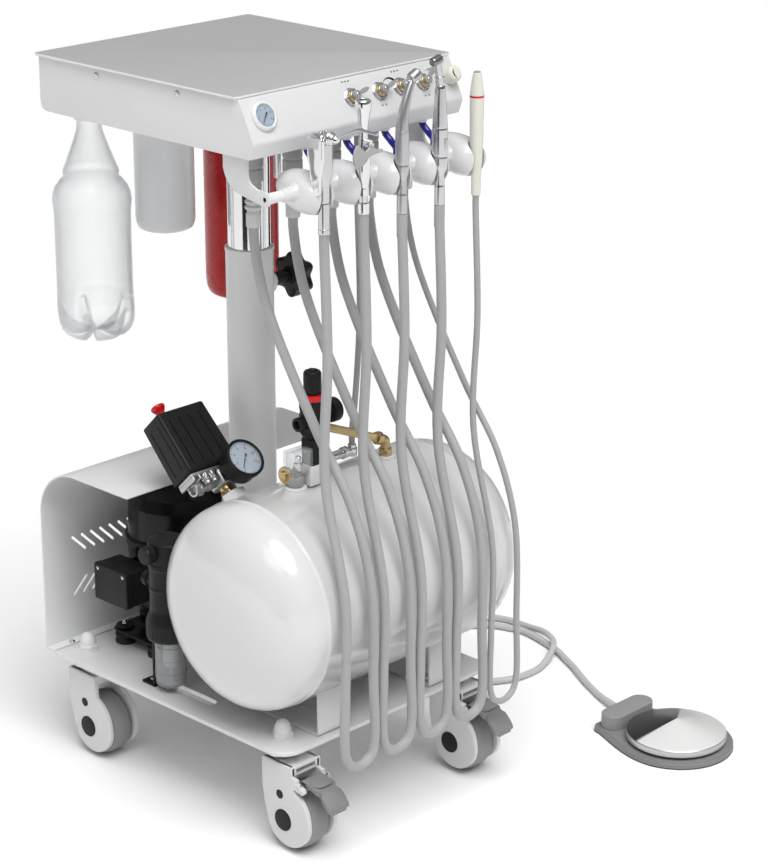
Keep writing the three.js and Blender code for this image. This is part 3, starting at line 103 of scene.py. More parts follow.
# Places and sizes that several pieces share
HOLDER_XS = [-88, -30, 28, 86, 144]
HOLDER_Y = -166
RAIL_Z = 733
RAIL_RADIUS = 5.75
ARM_RADIUS = 7.75
EGG_TILT = 8
INSTRUMENT_Y = -191
WELLS = [8.4, 8.6, 9.0, 9.6, 9.0]
HOSE_TOPS = [690, 701, 690.5, 689.6, 689.3]
HOSE_RADII = [5.5, 5.5, 5.5, 5.5, 3.6]
SLEEVE_LENGTHS = [2, 2, 26, 25, 2]
RELIEF_Y = -84
RELIEF_LENGTH = 95
CASE_BOTTOM = 773
CASE_TOP = 833.7
CASE_FRONT = -160
CASE_BACK = 184
CASE_BEND = 17
PANEL_SETBACK = 22
PANEL_RISE = CASE_TOP - CASE_BOTTOM - CASE_BEND
PANEL_SLOPE = math.atan2(PANEL_SETBACK, PANEL_RISE)
PANEL_MIDDLE = 0.55
VALVE_XS = [-4.5, 37.4, 69.5, 103.6]
CLEAR_AT = (-118, 148)
FROSTED_AT = (-35, 120)
RED_AT = (75, 113)
CAP_LOW = 763
BOTTLE_TOP = 762.7
SUPPLY_LOW = (32, -110)
SUPPLY_HIGH = (42, -110)
SOCKET_TOP = 773.2
TANK_Y = -128
TANK_Z = 270
TANK_RADIUS = 117
SWITCH_AT = (-87, TANK_Y + TANK_RADIUS * math.sqrt(0.5), TANK_Z + TANK_RADIUS * math.sqrt(0.5))
SWITCH_LEAN = 45
NIPPLE_OFFSET = (3.5, 0, 5)
CLAMP_Z = 573
STAR_X = 57.3
BASE_TOP = 123
BASE_BOTTOM = 118
SEAT = 0.3
REGULATOR_X = -46
CUBE_X = -73
VALVE_X = -69
ELBOW_X = 67
CORNERS = {
    "front_left": (-134, -167),
    "front_right": (134, -167),
    "rear_left": (-134, 167),
    "rear_right": (134, 167),
}
TRAIL = 22.5
WHEEL_RADIUS = 37.5
FOOT_AT = (352.5, -336)
GLAND_AT = (70, 0)


def size_property(label, text, metres):
    """A size setting with its label, description and default."""
    return bpy.props.FloatProperty(
        name=label, description=text, unit="LENGTH", precision=4, min=0.001, default=metres)


class Sizes(bpy.types.PropertyGroup):
    """Sizes that a user would change."""
    hose: size_property("Hose diameter", "Diameter of the instrument hoses", 0.011)
    scaler_hose: size_property("Scaler hose diameter", "Diameter of the thin hose", 0.0072)
    foot_hose: size_property("Foot hose diameter", "Diameter of the foot control's hose", 0.008)
    supply_hose: size_property("Supply hose diameter", "Diameter of the hose up to the box", 0.007)


def colour_property(label, text, value):
    """A colour setting with its label, description and default."""
    return bpy.props.FloatVectorProperty(
        name=label, description=text, subtype="COLOR", size=3, min=0, max=1, default=value)


class Colours(bpy.types.PropertyGroup):
    """Colours that a user would change."""
    cabinet: colour_property("Cabinet", "Light powder coat of the metalwork", (0.705, 0.707, 0.715))
    # The lid's grey is painted shade: darker than the cabinet coat because it faces up
    lid: colour_property("Lid", "Grey coat of the lid", (0.43, 0.43, 0.435))
    tank: colour_property("Tank", "Gloss coat of the tank", (0.69, 0.69, 0.69))
    holder: colour_property("Holders", "Gloss plastic of the holders", (0.70, 0.70, 0.705))
    cream: colour_property("Cream", "Cream plastic", (0.74, 0.73, 0.65))
    hose: colour_property("Hoses", "Grey silicone", (0.36, 0.36, 0.365))
    foot_hose: colour_property("Foot hose", "Light grey hose on the floor", (0.50, 0.505, 0.51))
    blue: colour_property("Blue tubes", "Blue polyurethane", (0.003, 0.003, 0.24))
    red: colour_property("Red bottle", "Red plastic", (0.46, 0.004, 0.006))
    dial: colour_property("Dials", "Pale blue dial card", (0.36, 0.44, 0.52))


class Value:
    """A number in a shader, so that sums are written as Python."""

    def __init__(self, tree, socket):
        self.tree = tree
        self.socket = socket

    def _sum(self, operation, first, second):
        node = self.tree.nodes.new("ShaderNodeMath")
        node.operation = operation
        for slot, value in zip(node.inputs, (first, second)):
            if isinstance(value, Value):
                self.tree.links.new(value.socket, slot)
            else:
                slot.default_value = value
        return Value(self.tree, node.outputs[0])

    def __add__(self, other):
        return self._sum("ADD", self, other)

    __radd__ = __add__

    def __sub__(self, other):
        return self._sum("SUBTRACT", self, other)

    def __rsub__(self, other):
        return self._sum("SUBTRACT", other, self)

    def __mul__(self, other):
        return self._sum("MULTIPLY", self, other)

    __rmul__ = __mul__


class Nodes:
    """A node tree under construction."""

    def __init__(self, tree):
        self.tree = tree

    def node(self, kind, output=0, settings=None, **sockets):
        """Any node: its settings come first, then its sockets by name, or by number as in i6."""
        made = self.tree.nodes.new(kind)
        for key, value in (settings or {}).items():
            if key == "stops":
                self.stops(made.color_ramp.elements, value)
            else:
                setattr(made, key, value)
        for key, value in sockets.items():
            numbered = key[1:].isdigit()
            self.feed(made.inputs[int(key[1:]) if numbered else key.replace("_", " ")], value)
        return Value(self.tree, made.outputs[output])

    @staticmethod
    def stops(elements, stops):
        """Sets the places and greys of a colour ramp."""
        while len(elements) < len(stops):
            elements.new(1.0)
        for element, (place, grey) in zip(elements, stops):
            element.position = place
            element.color = (grey, grey, grey, 1)

    def feed(self, socket, value):
        """Links a varying value into a socket, or sets a constant there."""
        if isinstance(value, Value):
            self.tree.links.new(value.socket, socket)
        elif socket.type == "RGBA":
            socket.default_value = (*value[:3], 1)
        else:
            socket.default_value = value


class Finish(Nodes):
    """A procedural material under construction on one principled shader."""

    def __init__(self, name, **constants):
        self.material = bpy.data.materials.new(name)
        self.material.use_nodes = True
        super().__init__(self.material.node_tree)
        self.shader = self.tree.nodes["Principled BSDF"]
        for socket, value in constants.items():
            self.shader.inputs[socket.replace("_", " ")].default_value = value
        self.place = self.node("ShaderNodeTexCoord", "Object")

    def stretched(self, x, y, z):
        """Object coordinates scaled along each axis."""
        return self.node("ShaderNodeMapping", Vector=self.place, Scale=(x, y, z))

    def noise(self, scale, detail=3.0, vector=None, rough=0.55):
        """Soft noise between 0 and 1 at a scale per metre."""
        return self.node("ShaderNodeTexNoise", 0, Vector=vector or self.place,
                         Scale=scale, Detail=detail, Roughness=rough)

    def mix(self, factor, first, second):
        """A colour between two colours."""
        return self.node("ShaderNodeMix", 2, {"data_type": "RGBA"}, i0=factor, i6=first, i7=second)

    def surface(self, colour, rough):
        """Feeds the shader's colour and roughness."""
        self.feed(self.shader.inputs["Base Color"], colour)
        self.feed(self.shader.inputs["Roughness"], rough)

    def bump(self, height, strength, distance=0.0002):
        """Feeds the shader's normal from a height."""
        self.feed(self.shader.inputs["Normal"],
                  self.node("ShaderNodeBump", Height=height, Strength=strength, Distance=distance))


def shade(colour, factor):
    """A colour made darker or lighter."""
    return tuple(min(1.0, channel * factor) for channel in colour)


def coat(name, colour, rough, grain=900, relief=0.12, drift=0.05, spread=0.10, **constants):
    """Paint or moulded plastic: fine grain, slow drift of tone, patches of duller surface."""
    made = Finish(name, **constants)
    slow = made.noise(9, 4)
    fine = made.noise(grain, 2)
    handled = made.noise(38, 5, rough=0.7)
    made.surface(made.mix(slow, shade(colour, 1 - drift), shade(colour, 1 + drift)),
                 rough - spread / 2 + handled * spread + fine * (spread * 0.3))
    made.bump(fine, relief)
    return made.material


def metal(name, colour, rough, stretch=(1, 1, 1), grain=500, relief=0.06, spread=0.14):
    """Bare metal with the fine scratches of its finishing."""
    drift = 0.08
    made = Finish(name, Metallic=1.0)
    lines = made.noise(grain, 4, made.stretched(*stretch))
    slow = made.noise(14, 4)
    made.surface(made.mix(slow, shade(colour, 1 - drift), shade(colour, 1 + drift)),
                 rough + lines * spread - spread / 2 + slow * 0.06)
    made.bump(lines, relief, 0.0001)
    return made.material


# Painted reflection: the dark fan in the disc's colour, by its share of a turn from -X
REFLECTION_FAN_STOPS = [(0.0, 1.0), (0.45, 1.0), (0.585, 0.55), (0.60, 0.0), (0.70, 0.10), (0.85, 0.04),
             (0.955, 0.0), (0.968, 1.0)]


def spun_metal(name, colour, centre):
    """A turned disc: rings round its middle in its roughness and bump, and a painted reflection, a dark
    fan in its colour by angle round the middle.
    """
    rough = 0.22
    made = Finish(name, Metallic=0.3)
    flat = made.node("ShaderNodeMapping", Vector=made.place, Location=[-value for value in centre])
    rings = made.node("ShaderNodeTexWave", 1, {"wave_type": "RINGS", "rings_direction": "Z"},
                      Vector=flat, Scale=420, Distortion=1.5, Detail=2)
    fan = made.node("ShaderNodeTexGradient", 1, {"gradient_type": "RADIAL"}, Vector=flat)
    grain = made.noise(900, 3, made.stretched(1, 1, 0.1))
    # The fan darkens the colour by angle round the middle: a painted reflection, fixed on the disc
    tone = made.node("ShaderNodeValToRGB", 0, {"stops": REFLECTION_FAN_STOPS}, Fac=fan + grain * 0.02 - 0.01)
    made.surface(made.mix(tone, shade(colour, 0.02), colour), rough + rings * 0.10 + grain * 0.05)
    made.bump(rings * 0.6 + grain * 0.4, 0.10, 0.0001)
    return made.material


def see_through(name, colour, thin, thick, rough=0.08, milk=0.0, rim=1.0, blend=0.35, gloss=0.4):
    """Clear or frosted plastic: denser and darker where the wall is seen edge on."""
    made = Finish(name, IOR=1.5, Coat_Weight=gloss, Coat_Roughness=0.06,
                  Specular_IOR_Level=0.2 + gloss * 0.75)
    edge = made.node("ShaderNodeLayerWeight", 1, Blend=blend)
    slow = made.noise(16, 3)
    body = made.mix(slow, shade(colour, 0.94), shade(colour, 1.03))
    made.surface(made.mix(edge, body, shade(colour, rim)), rough + made.noise(60, 3) * 0.08)
    made.feed(made.shader.inputs["Alpha"], thin + edge * (thick - thin) + slow * milk)
    made.bump(made.noise(45, 2), 0.10, 0.0006)
    return made.material


def hose_skin(name, colour):
    """Silicone hose: matt, with dust."""
    made = Finish(name, Sheen_Weight=0.15)
    dust = made.noise(170, 5, rough=0.7)
    slow = made.noise(7, 3)
    made.surface(made.mix(dust * 0.55 + slow * 0.45, shade(colour, 0.88), shade(colour, 1.14)),
                 0.46 + dust * 0.2)
    made.bump(dust, 0.10, 0.0002)
    return made.material


def finishes(colours):
    """Every material of the unit, by name."""
    cabinet = tuple(colours.cabinet)
    disc_middle = PLACE @ Vector((*FOOT_AT, 0))
    return {"cabinet": coat("powder_coat_light", cabinet, 0.38, grain=1300, relief=0.16,
                            Coat_Weight=0.1), "lid": coat("powder_coat_lid_painted_shade", tuple(colours.lid), 0.5,
                                                          grain=1100, relief=0.2,
                                                          Specular_IOR_Level=0.3),
            "tank": coat("gloss_coat_tank", tuple(colours.tank), 0.16, grain=260, relief=0.03,
                         drift=0.02, spread=0.06, Coat_Weight=0.5, Coat_Roughness=0.08),
            "holder": coat("gloss_plastic_holder", tuple(colours.holder), 0.18, grain=300, relief=0.03,
                           drift=0.02, spread=0.06, Coat_Weight=0.4, Coat_Roughness=0.08),
            "cream": coat("plastic_cream", tuple(colours.cream), 0.34, relief=0.06, spread=0.08),
            "caster": coat("plastic_caster", shade(cabinet, 0.9), 0.46, relief=0.12),
            "tread": coat("rubber_tread", (0.28, 0.28, 0.283), 0.6, grain=700, relief=0.3, drift=0.1),
            "pedal": coat("plastic_pedal", (0.22, 0.222, 0.226), 0.5, relief=0.25),
            "foot": coat("plastic_foot_base", (0.21, 0.21, 0.213), 0.48, relief=0.3, drift=0.08),
            "heel": coat("plastic_foot_heel", (0.27, 0.27, 0.273), 0.5, relief=0.3, drift=0.08),
            "black": coat("plastic_black", (0.012, 0.012, 0.013), 0.4, relief=0.22, drift=0.2,
                          Specular_IOR_Level=0.2),
            "black_gloss": coat("enamel_black", (0.008, 0.008, 0.009), 0.2, grain=240, relief=0.05,
                                drift=0.2, Specular_IOR_Level=0.22, Coat_Weight=0.08,
                                Coat_Roughness=0.12),
            "rubber": coat("rubber_black", (0.014, 0.014, 0.014), 0.62, grain=700, relief=0.3,
                           drift=0.2), "dark": coat("shadow_grey", (0.03, 0.03, 0.032), 0.6),
            "print": coat("print_black", (0.01, 0.01, 0.01), 0.5, relief=0.02),
            "white": coat("plastic_white", (0.76, 0.76, 0.76), 0.32, relief=0.05),
            "relief": coat("rubber_grey_and_painted_shade", (0.34, 0.34, 0.343), 0.5, relief=0.2),
            "relief_light": coat("rubber_relief_light", (0.58, 0.58, 0.585), 0.46, relief=0.15),
            "red": coat("plastic_red", (0.62, 0.006, 0.010), 0.28, relief=0.04, drift=0.08),
            "blue": coat("polyurethane_blue", tuple(colours.blue), 0.2, grain=300, relief=0.03,
                         drift=0.15, Coat_Weight=0.3, Coat_Roughness=0.08),
            "fork": coat("plastic_fork", (0.66, 0.66, 0.663), 0.32, relief=0.05, spread=0.06,
                         Coat_Weight=0.15), "lever": coat("zinc_lever", (0.30, 0.30, 0.305), 0.38,
                                                          relief=0.06),
            "lever_grey": coat("plastic_lever", (0.40, 0.40, 0.405), 0.4, relief=0.06),
            "mark": coat("print_grey", (0.16, 0.16, 0.165), 0.5, relief=0.02),
            "dial": coat("dial_card", tuple(colours.dial), 0.5, relief=0.02, drift=0.02,
                         Coat_Weight=0.5, Coat_Roughness=0.03),
            "steel": metal("steel_polished", (0.62, 0.62, 0.63), 0.16, (1, 1, 0.04), 2600),
            "satin_steel": metal("steel_satin", (0.55, 0.55, 0.56), 0.3, (1, 1, 0.05), 1800, 0.12),
            "die_cast": metal("zinc_die_cast", (0.52, 0.52, 0.53), 0.42, grain=900, relief=0.4),
            "chrome": metal("chrome_plate", (0.78, 0.78, 0.79), 0.07, grain=400, relief=0.02,
                            spread=0.05), "brass": metal("brass_turned", (0.56, 0.42, 0.22), 0.30,
                                                         (1, 1, 0.2), 1500, 0.1),
            "dark_steel": metal("steel_dark", (0.30, 0.30, 0.31), 0.28, (1, 1, 0.3), 1500, 0.1),
            "disc": spun_metal("steel_disc_painted_reflection", (0.86, 0.855, 0.85), disc_middle),
            "glass": see_through("gauge_glass", (0.92, 0.94, 0.95), 0.02, 0.30, 0.02),
            "bowl": see_through("plastic_bowl", (0.50, 0.51, 0.52), 0.30, 0.9, 0.1, rim=0.4),
            "clear": see_through("plastic_clear", (0.80, 0.83, 0.85), 0.07, 0.85, rim=0.5, blend=0.25),
            "frosted": see_through("plastic_frosted", (0.90, 0.91, 0.92), 0.74, 0.95, 0.34, 0.06),
            "red_bottle": see_through("plastic_red_bottle", tuple(colours.red), 0.93, 1.0, 0.24,
                                      gloss=0.1),
            "hose": hose_skin("silicone_hose", tuple(colours.hose)),
            "foot_hose": hose_skin("foot_control_hose", tuple(colours.foot_hose))}


FINISH = {}


# Shapes, in millimetres
AXIS_TURNS = {"x": (0, 90, 0), "-x": (0, -90, 0), "y": (-90, 0, 0), "-y": (90, 0, 0),
              "-z": (180, 0, 0)}
SIDE_AXES = ((-1, "-x"), (1, "x"))


def moved(shape, at=(0, 0, 0), turn=(0, 0, 0)):
    """Turns a shape by degrees about X, Y and Z, or lays its Z along a named axis, then moves it."""
    angles = AXIS_TURNS.get(turn, turn)
    spin = Euler([math.radians(angle) for angle in angles]).to_matrix().to_4x4()
    bmesh.ops.transform(shape, matrix=Matrix.Translation(at) @ spin, verts=shape.verts)
    return shape


def along(shape, axis, at=(0, 0, 0)):
    """Lays a shape that stands on +Z along another axis."""
    return moved(shape, at, axis)


def add(parts, finish, shape, at=(0, 0, 0), turn=(0, 0, 0)):
    """Adds a shape and its finish to a piece, after moving it."""
    parts.append((moved(shape, at, turn), finish))


def placed(parts, at=(0, 0, 0), turn=(0, 0, 0)):
    """The shapes of a piece, all turned and moved alike."""
    return [(moved(shape, at, turn), finish) for shape, finish in parts]


def arc(centre, radius, start, end, steps):
    """Points of an arc, angles in degrees."""
    return [
        (centre[0] + radius * math.cos(math.radians(start + (end - start) * i / steps)),
         centre[1] + radius * math.sin(math.radians(start + (end - start) * i / steps)))
        for i in range(steps + 1)
    ]


def bezier(a, b, c, d, steps=8):
    """Points of a cubic curve without its first one."""
    out = []
    for i in range(1, steps + 1):
        t = i / steps
        weights = ((1 - t) ** 3, 3 * t * (1 - t) ** 2, 3 * t * t * (1 - t), t ** 3)
        out.append(tuple(sum(w * p[k] for w, p in zip(weights, (a, b, c, d))) for k in (0, 1)))
    return out


def eased(points, radius, steps=4, closed=True):
    """An outline with its corners rounded."""
    out = []
    count = len(points)
    for i, corner in enumerate(points):
        if not closed and i in (0, count - 1):
            out.append(tuple(corner[:2]))
            continue
        here = Vector(corner[:2])
        before = Vector(points[i - 1][:2]) - here
        after = Vector(points[(i + 1) % count][:2]) - here
        reach = corner[2] if len(corner) > 2 else radius
        reach = min(reach, before.length * 0.48, after.length * 0.48)
        if reach < 0.02:
            out.append(tuple(here))
            continue
        first = here + before.normalized() * reach
        last = here + after.normalized() * reach
        for k in range(steps + 1):
            t = k / steps
            out.append(tuple(first * (1 - t) ** 2 + here * (2 * t * (1 - t)) + last * t ** 2))
    return out


def lathe(profile, steps=64, ease=0.0):
    """A full turn about Z of radius and height pairs, closed on the axis where they reach it."""
    pairs = eased(profile, ease, 3, closed=False) if ease else profile
    shape = bmesh.new()
    verts = [shape.verts.new((pair[0], 0, pair[1])) for pair in pairs]
    edges = [shape.edges.new(pair) for pair in zip(verts, verts[1:])]
    bmesh.ops.spin(shape, geom=verts + edges, cent=(0, 0, 0), axis=(0, 0, 1), dvec=(0, 0, 0),
                   angle=2 * math.pi, steps=steps, use_merge=True, use_duplicate=False)
    bmesh.ops.remove_doubles(shape, verts=shape.verts, dist=0.001)
    bmesh.ops.recalc_face_normals(shape, faces=shape.faces)
    return shape


def rod(radius, start, end, steps=48, ease=0.6):
    """A solid round bar on Z with softened ends."""
    return lathe([(0, start), (radius, start), (radius, end), (0, end)], steps, ease)


def nut(across, start, end, ease=0.5):
    """A hexagonal nut on Z with turned corners."""
    radius = across / math.sqrt(3)
    shape = slab([(radius * math.cos(math.radians(60 * i)), radius * math.sin(math.radians(60 * i)))
                  for i in range(6)], end - start, bevel=ease)
    return moved(shape, (0, 0, start))


def slab(outline, depth, bevel=0.0, segments=2):
    """A flat outline in X and Y raised along Z, with its edges rounded."""
    shape = bmesh.new()
    face = shape.faces.new([shape.verts.new((pair[0], pair[1], 0)) for pair in outline])
    raised = bmesh.ops.extrude_face_region(shape, geom=[face])
    top = [item for item in raised["geom"] if isinstance(item, bmesh.types.BMVert)]
    bmesh.ops.translate(shape, vec=(0, 0, depth), verts=top)
    bmesh.ops.recalc_face_normals(shape, faces=shape.faces)
    if bevel:
        rims = [edge for edge in shape.edges if edge.calc_face_angle(0) > math.radians(40)]
        bmesh.ops.bevel(shape, geom=rims, offset=bevel, offset_type="OFFSET", segments=segments,
                        profile=0.5, affect="EDGES", material=-1, clamp_overlap=True)
    return shape


def side_slab(outline, x0, x1, bevel=0.0, segments=2):
    """A flat outline in Y and Z given a width along X."""
    shape = slab(outline, x1 - x0, bevel, segments)
    standing = Matrix(((0, 0, 1, x0), (1, 0, 0, 0), (0, 1, 0, 0), (0, 0, 0, 1)))
    bmesh.ops.transform(shape, matrix=standing, verts=shape.verts)
    return shape


def block(low, high, bevel=0.8, segments=3):
    """A box between two corners with rounded edges."""
    shape = bmesh.new()
    bmesh.ops.create_cube(shape, size=1)
    size = [b - a for a, b in zip(low, high)]
    middle = [(a + b) / 2 for a, b in zip(low, high)]
    bmesh.ops.scale(shape, vec=size, verts=shape.verts)
    bmesh.ops.translate(shape, vec=middle, verts=shape.verts)
    if bevel:
        bmesh.ops.bevel(shape, geom=shape.edges[:], offset=bevel, offset_type="OFFSET",
                        segments=segments, profile=0.5, affect="EDGES", material=-1, clamp_overlap=True)
    return shape


def rectangle(width, depth, corner, x=0, y=0, steps=6):
    """A rectangle's outline with round corners."""
    a, b = width / 2 - corner, depth / 2 - corner
    out = []
    for cx, cy, start in ((a, b, 0), (-a, b, 90), (-a, -b, 180), (a, -b, 270)):
        out += arc((x + cx, y + cy), corner, start, start + 90, steps)
    return out


def lobed(radius, depth, lobes, steps=8):
    """A knob's outline with round lobes."""
    count = lobes * steps
    out = []
    for i in range(count):
        angle = 2 * math.pi * i / count
        reach = radius - depth * (1 - math.cos(lobes * angle))
        out.append((reach * math.cos(angle), reach * math.sin(angle)))
    return out


def smooth_path(points, steps=8):
    """A centripetal curve through given points."""
    knots = [Vector(p) for p in points]
    knots = [knots[0] * 2 - knots[1], *knots, knots[-1] * 2 - knots[-2]]
    out = []
    for a, b, c, d in zip(knots, knots[1:], knots[2:], knots[3:]):
        t0 = 0.0
        t1 = t0 + max((b - a).length, 1e-6) ** 0.5
        t2 = t1 + max((c - b).length, 1e-6) ** 0.5
        t3 = t2 + max((d - c).length, 1e-6) ** 0.5
        for k in range(steps):
            t = t1 + (t2 - t1) * k / steps
            ab = a * ((t1 - t) / (t1 - t0)) + b * ((t - t0) / (t1 - t0))
            bc = b * ((t2 - t) / (t2 - t1)) + c * ((t - t1) / (t2 - t1))
            cd = c * ((t3 - t) / (t3 - t2)) + d * ((t - t2) / (t3 - t2))
            abc = ab * ((t2 - t) / (t2 - t0)) + bc * ((t - t0) / (t2 - t0))
            bcd = bc * ((t3 - t) / (t3 - t1)) + cd * ((t - t1) / (t3 - t1))
            out.append(abc * ((t2 - t) / (t2 - t1)) + bcd * ((t - t1) / (t2 - t1)))
    out.append(knots[-2])
    return out


def drawn(curve):
    """The shape of a curve, which is then removed."""
    holder = bpy.data.objects.new("drawn", curve)
    mesh = bpy.data.meshes.new_from_object(holder)
    shape = bmesh.new()
    shape.from_mesh(mesh)
    bpy.data.objects.remove(holder)
    bpy.data.curves.remove(curve)
    bpy.data.meshes.remove(mesh)
    return shape


def tube(path, radius, sides=4, taper=None):
    """A round tube along a path, closed at its ends. Sides counts the steps of a quarter turn."""
    curve = bpy.data.curves.new("path", "CURVE")
    curve.dimensions = "3D"
    curve.bevel_depth = radius
    curve.bevel_resolution = sides
    curve.use_fill_caps = True
    line = curve.splines.new("POLY")
    line.points.add(len(path) - 1)
    for i, (spot, place) in enumerate(zip(line.points, path)):
        spot.co = (*place, 1)
        if taper:
            spot.radius = 1 + (taper - 1) * i / (len(path) - 1)
    shape = drawn(curve)
    bmesh.ops.remove_doubles(shape, verts=shape.verts, dist=0.001)
    bmesh.ops.recalc_face_normals(shape, faces=shape.faces)
    return shape


def lettering(text, size, thickness):
    """Raised plain figures, lying in X and Y."""
    curve = bpy.data.curves.new("figures", "FONT")
    curve.body = text
    curve.size = size
    curve.extrude = thickness
    curve.align_x = "CENTER"
    curve.align_y = "CENTER"
    return drawn(curve)


def pour(shape, whole):
    """Empties one bmesh into another."""
    part = bpy.data.meshes.new("part")
    shape.to_mesh(part)
    shape.free()
    whole.from_mesh(part)
    bpy.data.meshes.remove(part)


def gathered(*shapes):
    """Several shapes in one bmesh."""
    whole = bmesh.new()
    for shape in shapes:
        pour(shape, whole)
    return whole


def solid(name, shape):
    """A shape as an object of the scene."""
    mesh = bpy.data.meshes.new(name)
    shape.to_mesh(mesh)
    shape.free()
    made = bpy.data.objects.new(name, mesh)
    bpy.context.scene.collection.objects.link(made)
    return made


def carved(shape, tool, operation="DIFFERENCE"):
    """A shape cut by, or joined to, another one."""
    objects = [solid("carving", item) for item in (shape, tool)]
    modifier = objects[0].modifiers.new("cut", "BOOLEAN")
    modifier.operation = operation
    modifier.solver = "EXACT"
    modifier.use_self = True
    modifier.object = objects[1]
    bpy.context.view_layer.update()
    result = bmesh.new()
    result.from_object(objects[0], bpy.context.evaluated_depsgraph_get())
    for made in objects:
        mesh = made.data
        bpy.data.objects.remove(made)
        bpy.data.meshes.remove(mesh)
    if not result.faces:
        raise RuntimeError("a cut left nothing")
    return result


def screw_head(radius, height):
    """A domed screw head with a cross recess, standing on Z."""
    head = lathe([(0, -0.3), (radius, -0.3), (radius, height * 0.35), (radius * 0.6, height * 0.85),
                  (0, height)], 32, 0.3)
    arms = [block((-a, -b, height * 0.4), (a, b, height + 1), 0)
            for a, b in ((radius * 0.6, radius * 0.12), (radius * 0.12, radius * 0.6))]
    return carved(head, carved(arms[0], arms[1], "UNION"))


def leaned(shape):
    """Places a shape of the switch group, which leans back from the tank's shoulder."""
    return moved(moved(shape, NIPPLE_OFFSET), SWITCH_AT, (-SWITCH_LEAN, 0, 0))


def on_panel(shape, x):
    """Places a shape that stands on +Z on the middle line of the sloped panel."""
    y = CASE_FRONT + PANEL_SETBACK * PANEL_MIDDLE
    z = CASE_BOTTOM + CASE_BEND + PANEL_RISE * PANEL_MIDDLE
    return moved(shape, (x, y, z), (90 - math.degrees(PANEL_SLOPE), 0, 0))


def piece(name, body, parts, replaces=(), crease=35, place=None):
    """One object from shapes and their finishes, riding on a body; place moves each shape first."""
    whole = bmesh.new()
    names = []
    for shape, finish in parts:
        if place:
            place(shape)
        if finish not in names:
            names.append(finish)
        for face in shape.faces:
            face.material_index = names.index(finish)
            face.smooth = True
        pour(shape, whole)
    bmesh.ops.transform(whole, matrix=PLACE, verts=whole.verts)
    made = solid(name, whole)
    made.data.set_sharp_from_angle(angle=math.radians(crease))
    for finish in names:
        made.data.materials.append(FINISH[finish])
    if body:
        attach(made, body)
    if replaces:
        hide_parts(*replaces)
    return made


def path_length(path):
    """Length of a path of points in millimetres."""
    return sum((b - a).length for a, b in zip(path, path[1:]))


# Camera, light and floor
def camera():
    """The photograph's view."""
    data = bpy.data.cameras.new("view")
    data.lens = CAMERA_LENS
    data.sensor_width = CAMERA_SENSOR
    data.clip_end = CAMERA_REACH
    made = bpy.data.objects.new("view", data)
    made.matrix_world = Matrix.Translation(point(*CAMERA_AT)) @ Euler(
        (math.radians(90 - CAMERA_DOWN), 0, math.radians(CAMERA_TURN))).to_matrix().to_4x4()
    bpy.context.scene.collection.objects.link(made)
    bpy.context.scene.camera = made


def light(name, kind, at, energy, **settings):
    """A lamp that faces the unit's middle."""
    data = bpy.data.lights.new(name, kind)
    data.energy = energy
    for key, value in settings.items():
        setattr(data, key, value)
    made = bpy.data.objects.new(name, data)
    made.location = at
    way = Vector((0, 0, LIT_HEIGHT)) - Vector(at)
    made.rotation_euler = way.to_track_quat("-Z", "Y").to_euler()
    bpy.context.scene.collection.objects.link(made)


def backdrop(name, shape, finish):
    """A sheet of the studio, which isn't part of the unit."""
    made = solid(name, shape)
    made.data.materials.append(finish)
    return made


def stage():
    """Pale floor, soft light from above, an even surround and two dark flags for the metal."""
    ground = bmesh.new()
    bmesh.ops.create_grid(ground, x_segments=2, y_segments=2, size=FLOOR_SIZE)
    backdrop("floor", ground,
             coat("floor_pale", (0.94, 0.94, 0.94), 0.9, grain=60, relief=0.0, drift=0.002))
    flag_finish = coat("flag_black", (0.01, 0.01, 0.01), 0.8)
    for name, azimuth, reach, wide, high in FLAGS:
        sheet = block((-wide / 2, -FLAG_THICKNESS / 2, FLAG_LIFT), (wide / 2, FLAG_THICKNESS / 2, high),
                      0.004, 1)
        way = math.radians(azimuth)
        spot = (reach * math.cos(way), reach * math.sin(way), 0)
        flag = backdrop(name, moved(sheet, spot, (0, 0, azimuth + 90)), flag_finish)
        flag.visible_camera = False
        flag.visible_diffuse = False
        flag.visible_shadow = False
        flag.visible_transmission = False
    light("sun", "SUN", SUN_AT, SUN_POWER, angle=math.radians(SUN_ANGLE))
    light("key", "AREA", KEY_AT, KEY_POWER, shape="SQUARE", size=KEY_SIZE)
    world = bpy.data.worlds.new("surround")
    world.use_nodes = True
    sky = Nodes(world.node_tree)
    height = sky.node("ShaderNodeSeparateXYZ", "Z",
                      Vector=sky.node("ShaderNodeTexCoord", "Generated"))
    band = sky.node("ShaderNodeValToRGB", 0, {"stops": SKY_STOPS}, Fac=height * 0.5 + 0.5)
    shader = sky.tree.nodes["Background"]
    sky.feed(shader.inputs["Color"], band)
    sky.feed(shader.inputs["Strength"], SKY_POWER)
    bpy.context.scene.world = world
    bpy.context.scene.view_settings.view_transform = "Standard"


# Hoses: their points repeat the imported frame's routes
def instrument_route(index):
    """Points of one instrument hose, from its strain relief to its instrument."""
    x = HOLDER_XS[index]
    end = HOSE_TOPS[index] - SEAT
    return [
        (x, INSTRUMENT_Y, end),
        (x, INSTRUMENT_Y, end - 12),
        (x - 8, -203, 560),
        (x - 18, -208, 430),
        (x - 32, -252, 300),
        (x - 39, -258, 200),
        (x - 39, -258, 131),
        (x - 32.6, -258, 115.4),
        (x - 17, -258, 109),
        (x - 1.4, -258, 115.4),
        (x + 5, -258, 131),
        (x + 5, -257, 200),
        (x + 4, -253, 320),
        (x + 3, -225, 400),
        (x + 2, -175, 470),
        (x, -100, 600),
        (x, RELIEF_Y, CASE_BOTTOM - RELIEF_LENGTH - 12),
        (x, RELIEF_Y, CASE_BOTTOM - RELIEF_LENGTH - SEAT),
    ][::-1]


